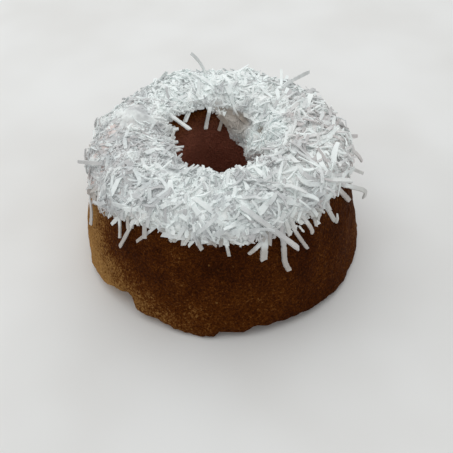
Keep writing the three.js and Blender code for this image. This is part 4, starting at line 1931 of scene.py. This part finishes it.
        # painted light whitens the shreds and takes away their blush in the hole's right side
        painted_light = blanket.painted_light(turn, corners)
        tone = blanket.side_tone(turn) + blanket.mottle(strips.centre)[..., None]
        paint(piece, Coat.SHADE, np.clip(shade + tone - blanket.light_whitening * painted_light, 0.0, 1.0))
        blush = self.warmth.at(turn, corners, shade)
        paint(piece, Coat.BLUSH, blush * (1.0 - painted_light))
        paint(piece, Coat.THINNED, np.broadcast_to(strips.thinned[..., None], turn.shape))

    def build(self) -> list[bpy.types.Object]:
        """The strewn shreds of all kinds, the strays, those laid on top and those along the edges.

        Returns:
            One piece for each.
        """
        material = self.finish.material()
        for kind in ShredKind:
            self.lay(f"{kind.name.lower()}_shreds", self.scattered(kind.value), material)
        listed = np.array([astuple(stray) for stray in STRAYS], float)
        self.lay("stray_shreds", self.standing(listed, self.stray_stations), material)
        self.lay("laid_shreds", self.laid(), material)
        for kind in Edging:
            strips = self.standing(self.edging(kind.value), kind.value.stations)
            self.lay(kind.name.lower(), strips, material)
        return self.pieces


@dataclass(frozen=True)
class Lamp:
    """A soft square light: where it hangs, where it points, its side, power and colour."""

    name: str
    place: tuple[float, float, float]
    target: tuple[float, float, float]
    side: float
    power: float
    colour: tuple[float, float, float]

    def build(self) -> None:
        """Hangs the light, turned from its place to its target."""
        data = bpy.data.lights.new(self.name, "AREA")
        data.size, data.energy, data.color = self.side, self.power, self.colour
        lamp = bpy.data.objects.new(self.name, data)
        lamp.location = self.place
        facing = Vector(self.target) - Vector(self.place)
        lamp.rotation_euler = facing.to_track_quat("-Z", "Y").to_euler()
        bpy.context.scene.collection.objects.link(lamp)


@dataclass
class Studio:
    """A pale floor, soft light, and a camera above the front."""

    eye: tuple[float, float, float] = (0.0, -0.3032, 0.3080)
    aim: tuple[float, float, float] = (0.0022, 0.0, 0.0020)
    roll: float = -1.9
    lens: float = 51.66
    sensor: float = 36.0
    clip: Span = (0.01, 20.0)
    ambient: float = 0.52
    floor_side: float = 6.0
    floor_drop: float = 0.2
    floor_points: int = 9
    lamps: tuple[Lamp, ...] = (
        Lamp("above", (-0.04, 0.28, 1.0), (0.0, 0.0, 0.05), 1.6, 7.5, (0.97, 1.0, 1.0)),
        Lamp("left", (-0.9, 0.1, 0.45), (0.0, 0.0, 0.04), 0.5, 0.6, (1.0, 0.98, 0.95)),
    )

    def floor(self) -> bpy.types.Object:
        """A flat square grid under the cake.

        Returns:
            The floor.
        """
        count = self.floor_points
        side = np.linspace(-0.5, 0.5, count) * self.floor_side / MM
        x, y = np.meshgrid(side, side)
        points = np.stack([x, y, np.full_like(x, -self.floor_drop)], axis=-1)
        row, column = np.meshgrid(np.arange(count - 1), np.arange(count - 1), indexing="ij")
        start = (row * count + column).ravel()
        faces = np.stack([start, start + 1, start + count + 1, start + count], axis=1)
        piece = mesh_object("floor", points, faces, False)
        piece.data.materials.append(FloorFinish().material())
        return piece

    def camera(self) -> None:
        """A camera at the eye that looks at the aim, rolled a little about its own axis."""
        data = bpy.data.cameras.new("camera")
        data.lens, data.sensor_width, data.sensor_fit = self.lens, self.sensor, "HORIZONTAL"
        data.clip_start, data.clip_end = self.clip
        camera = bpy.data.objects.new("camera", data)
        facing = (Vector(self.aim) - Vector(self.eye)).to_track_quat("-Z", "Y")
        turned = facing.to_matrix().to_4x4() @ Matrix.Rotation(math.radians(self.roll), 4, "Z")
        camera.matrix_world = Matrix.Translation(self.eye) @ turned
        bpy.context.scene.collection.objects.link(camera)
        bpy.context.scene.camera = camera

    def build(self) -> None:
        """Floor, even light all round, lamps and camera."""
        self.floor()
        world = bpy.data.worlds.new("even_light")
        world.use_nodes = True
        backdrop = world.node_tree.nodes["Background"]
        backdrop.inputs["Color"].default_value = (1.0, 1.0, 1.0, 1.0)
        backdrop.inputs["Strength"].default_value = self.ambient
        bpy.context.scene.world = world
        bpy.context.scene.view_settings.view_transform = "Standard"
        for lamp in self.lamps:
            lamp.build()
        self.camera()


def settle(piece: bpy.types.Object, node: str) -> None:
    """Ties a finished piece to the body and hides the solid that it stands for.

    Args:
        piece: the piece.
        node: the solid's name.
    """
    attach(piece, "root")
    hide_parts(node)
    LOG.info("%s: %d faces", piece.name, len(piece.data.polygons))


def main() -> None:
    """Builds the studio, the ring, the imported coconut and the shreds."""
    logging.basicConfig(level=logging.INFO, format="%(name)s %(message)s")
    section, blanket = RingSection(), Blanket()
    Studio().build()
    settle(BakedRing(section).build(), "cake")
    settle(CoconutBed(section, blanket).build(), "coconut")
    for piece in ShreddedCoconut(section, blanket).build():
        settle(piece, "coconut")


if __name__ == "__main__":
    main()
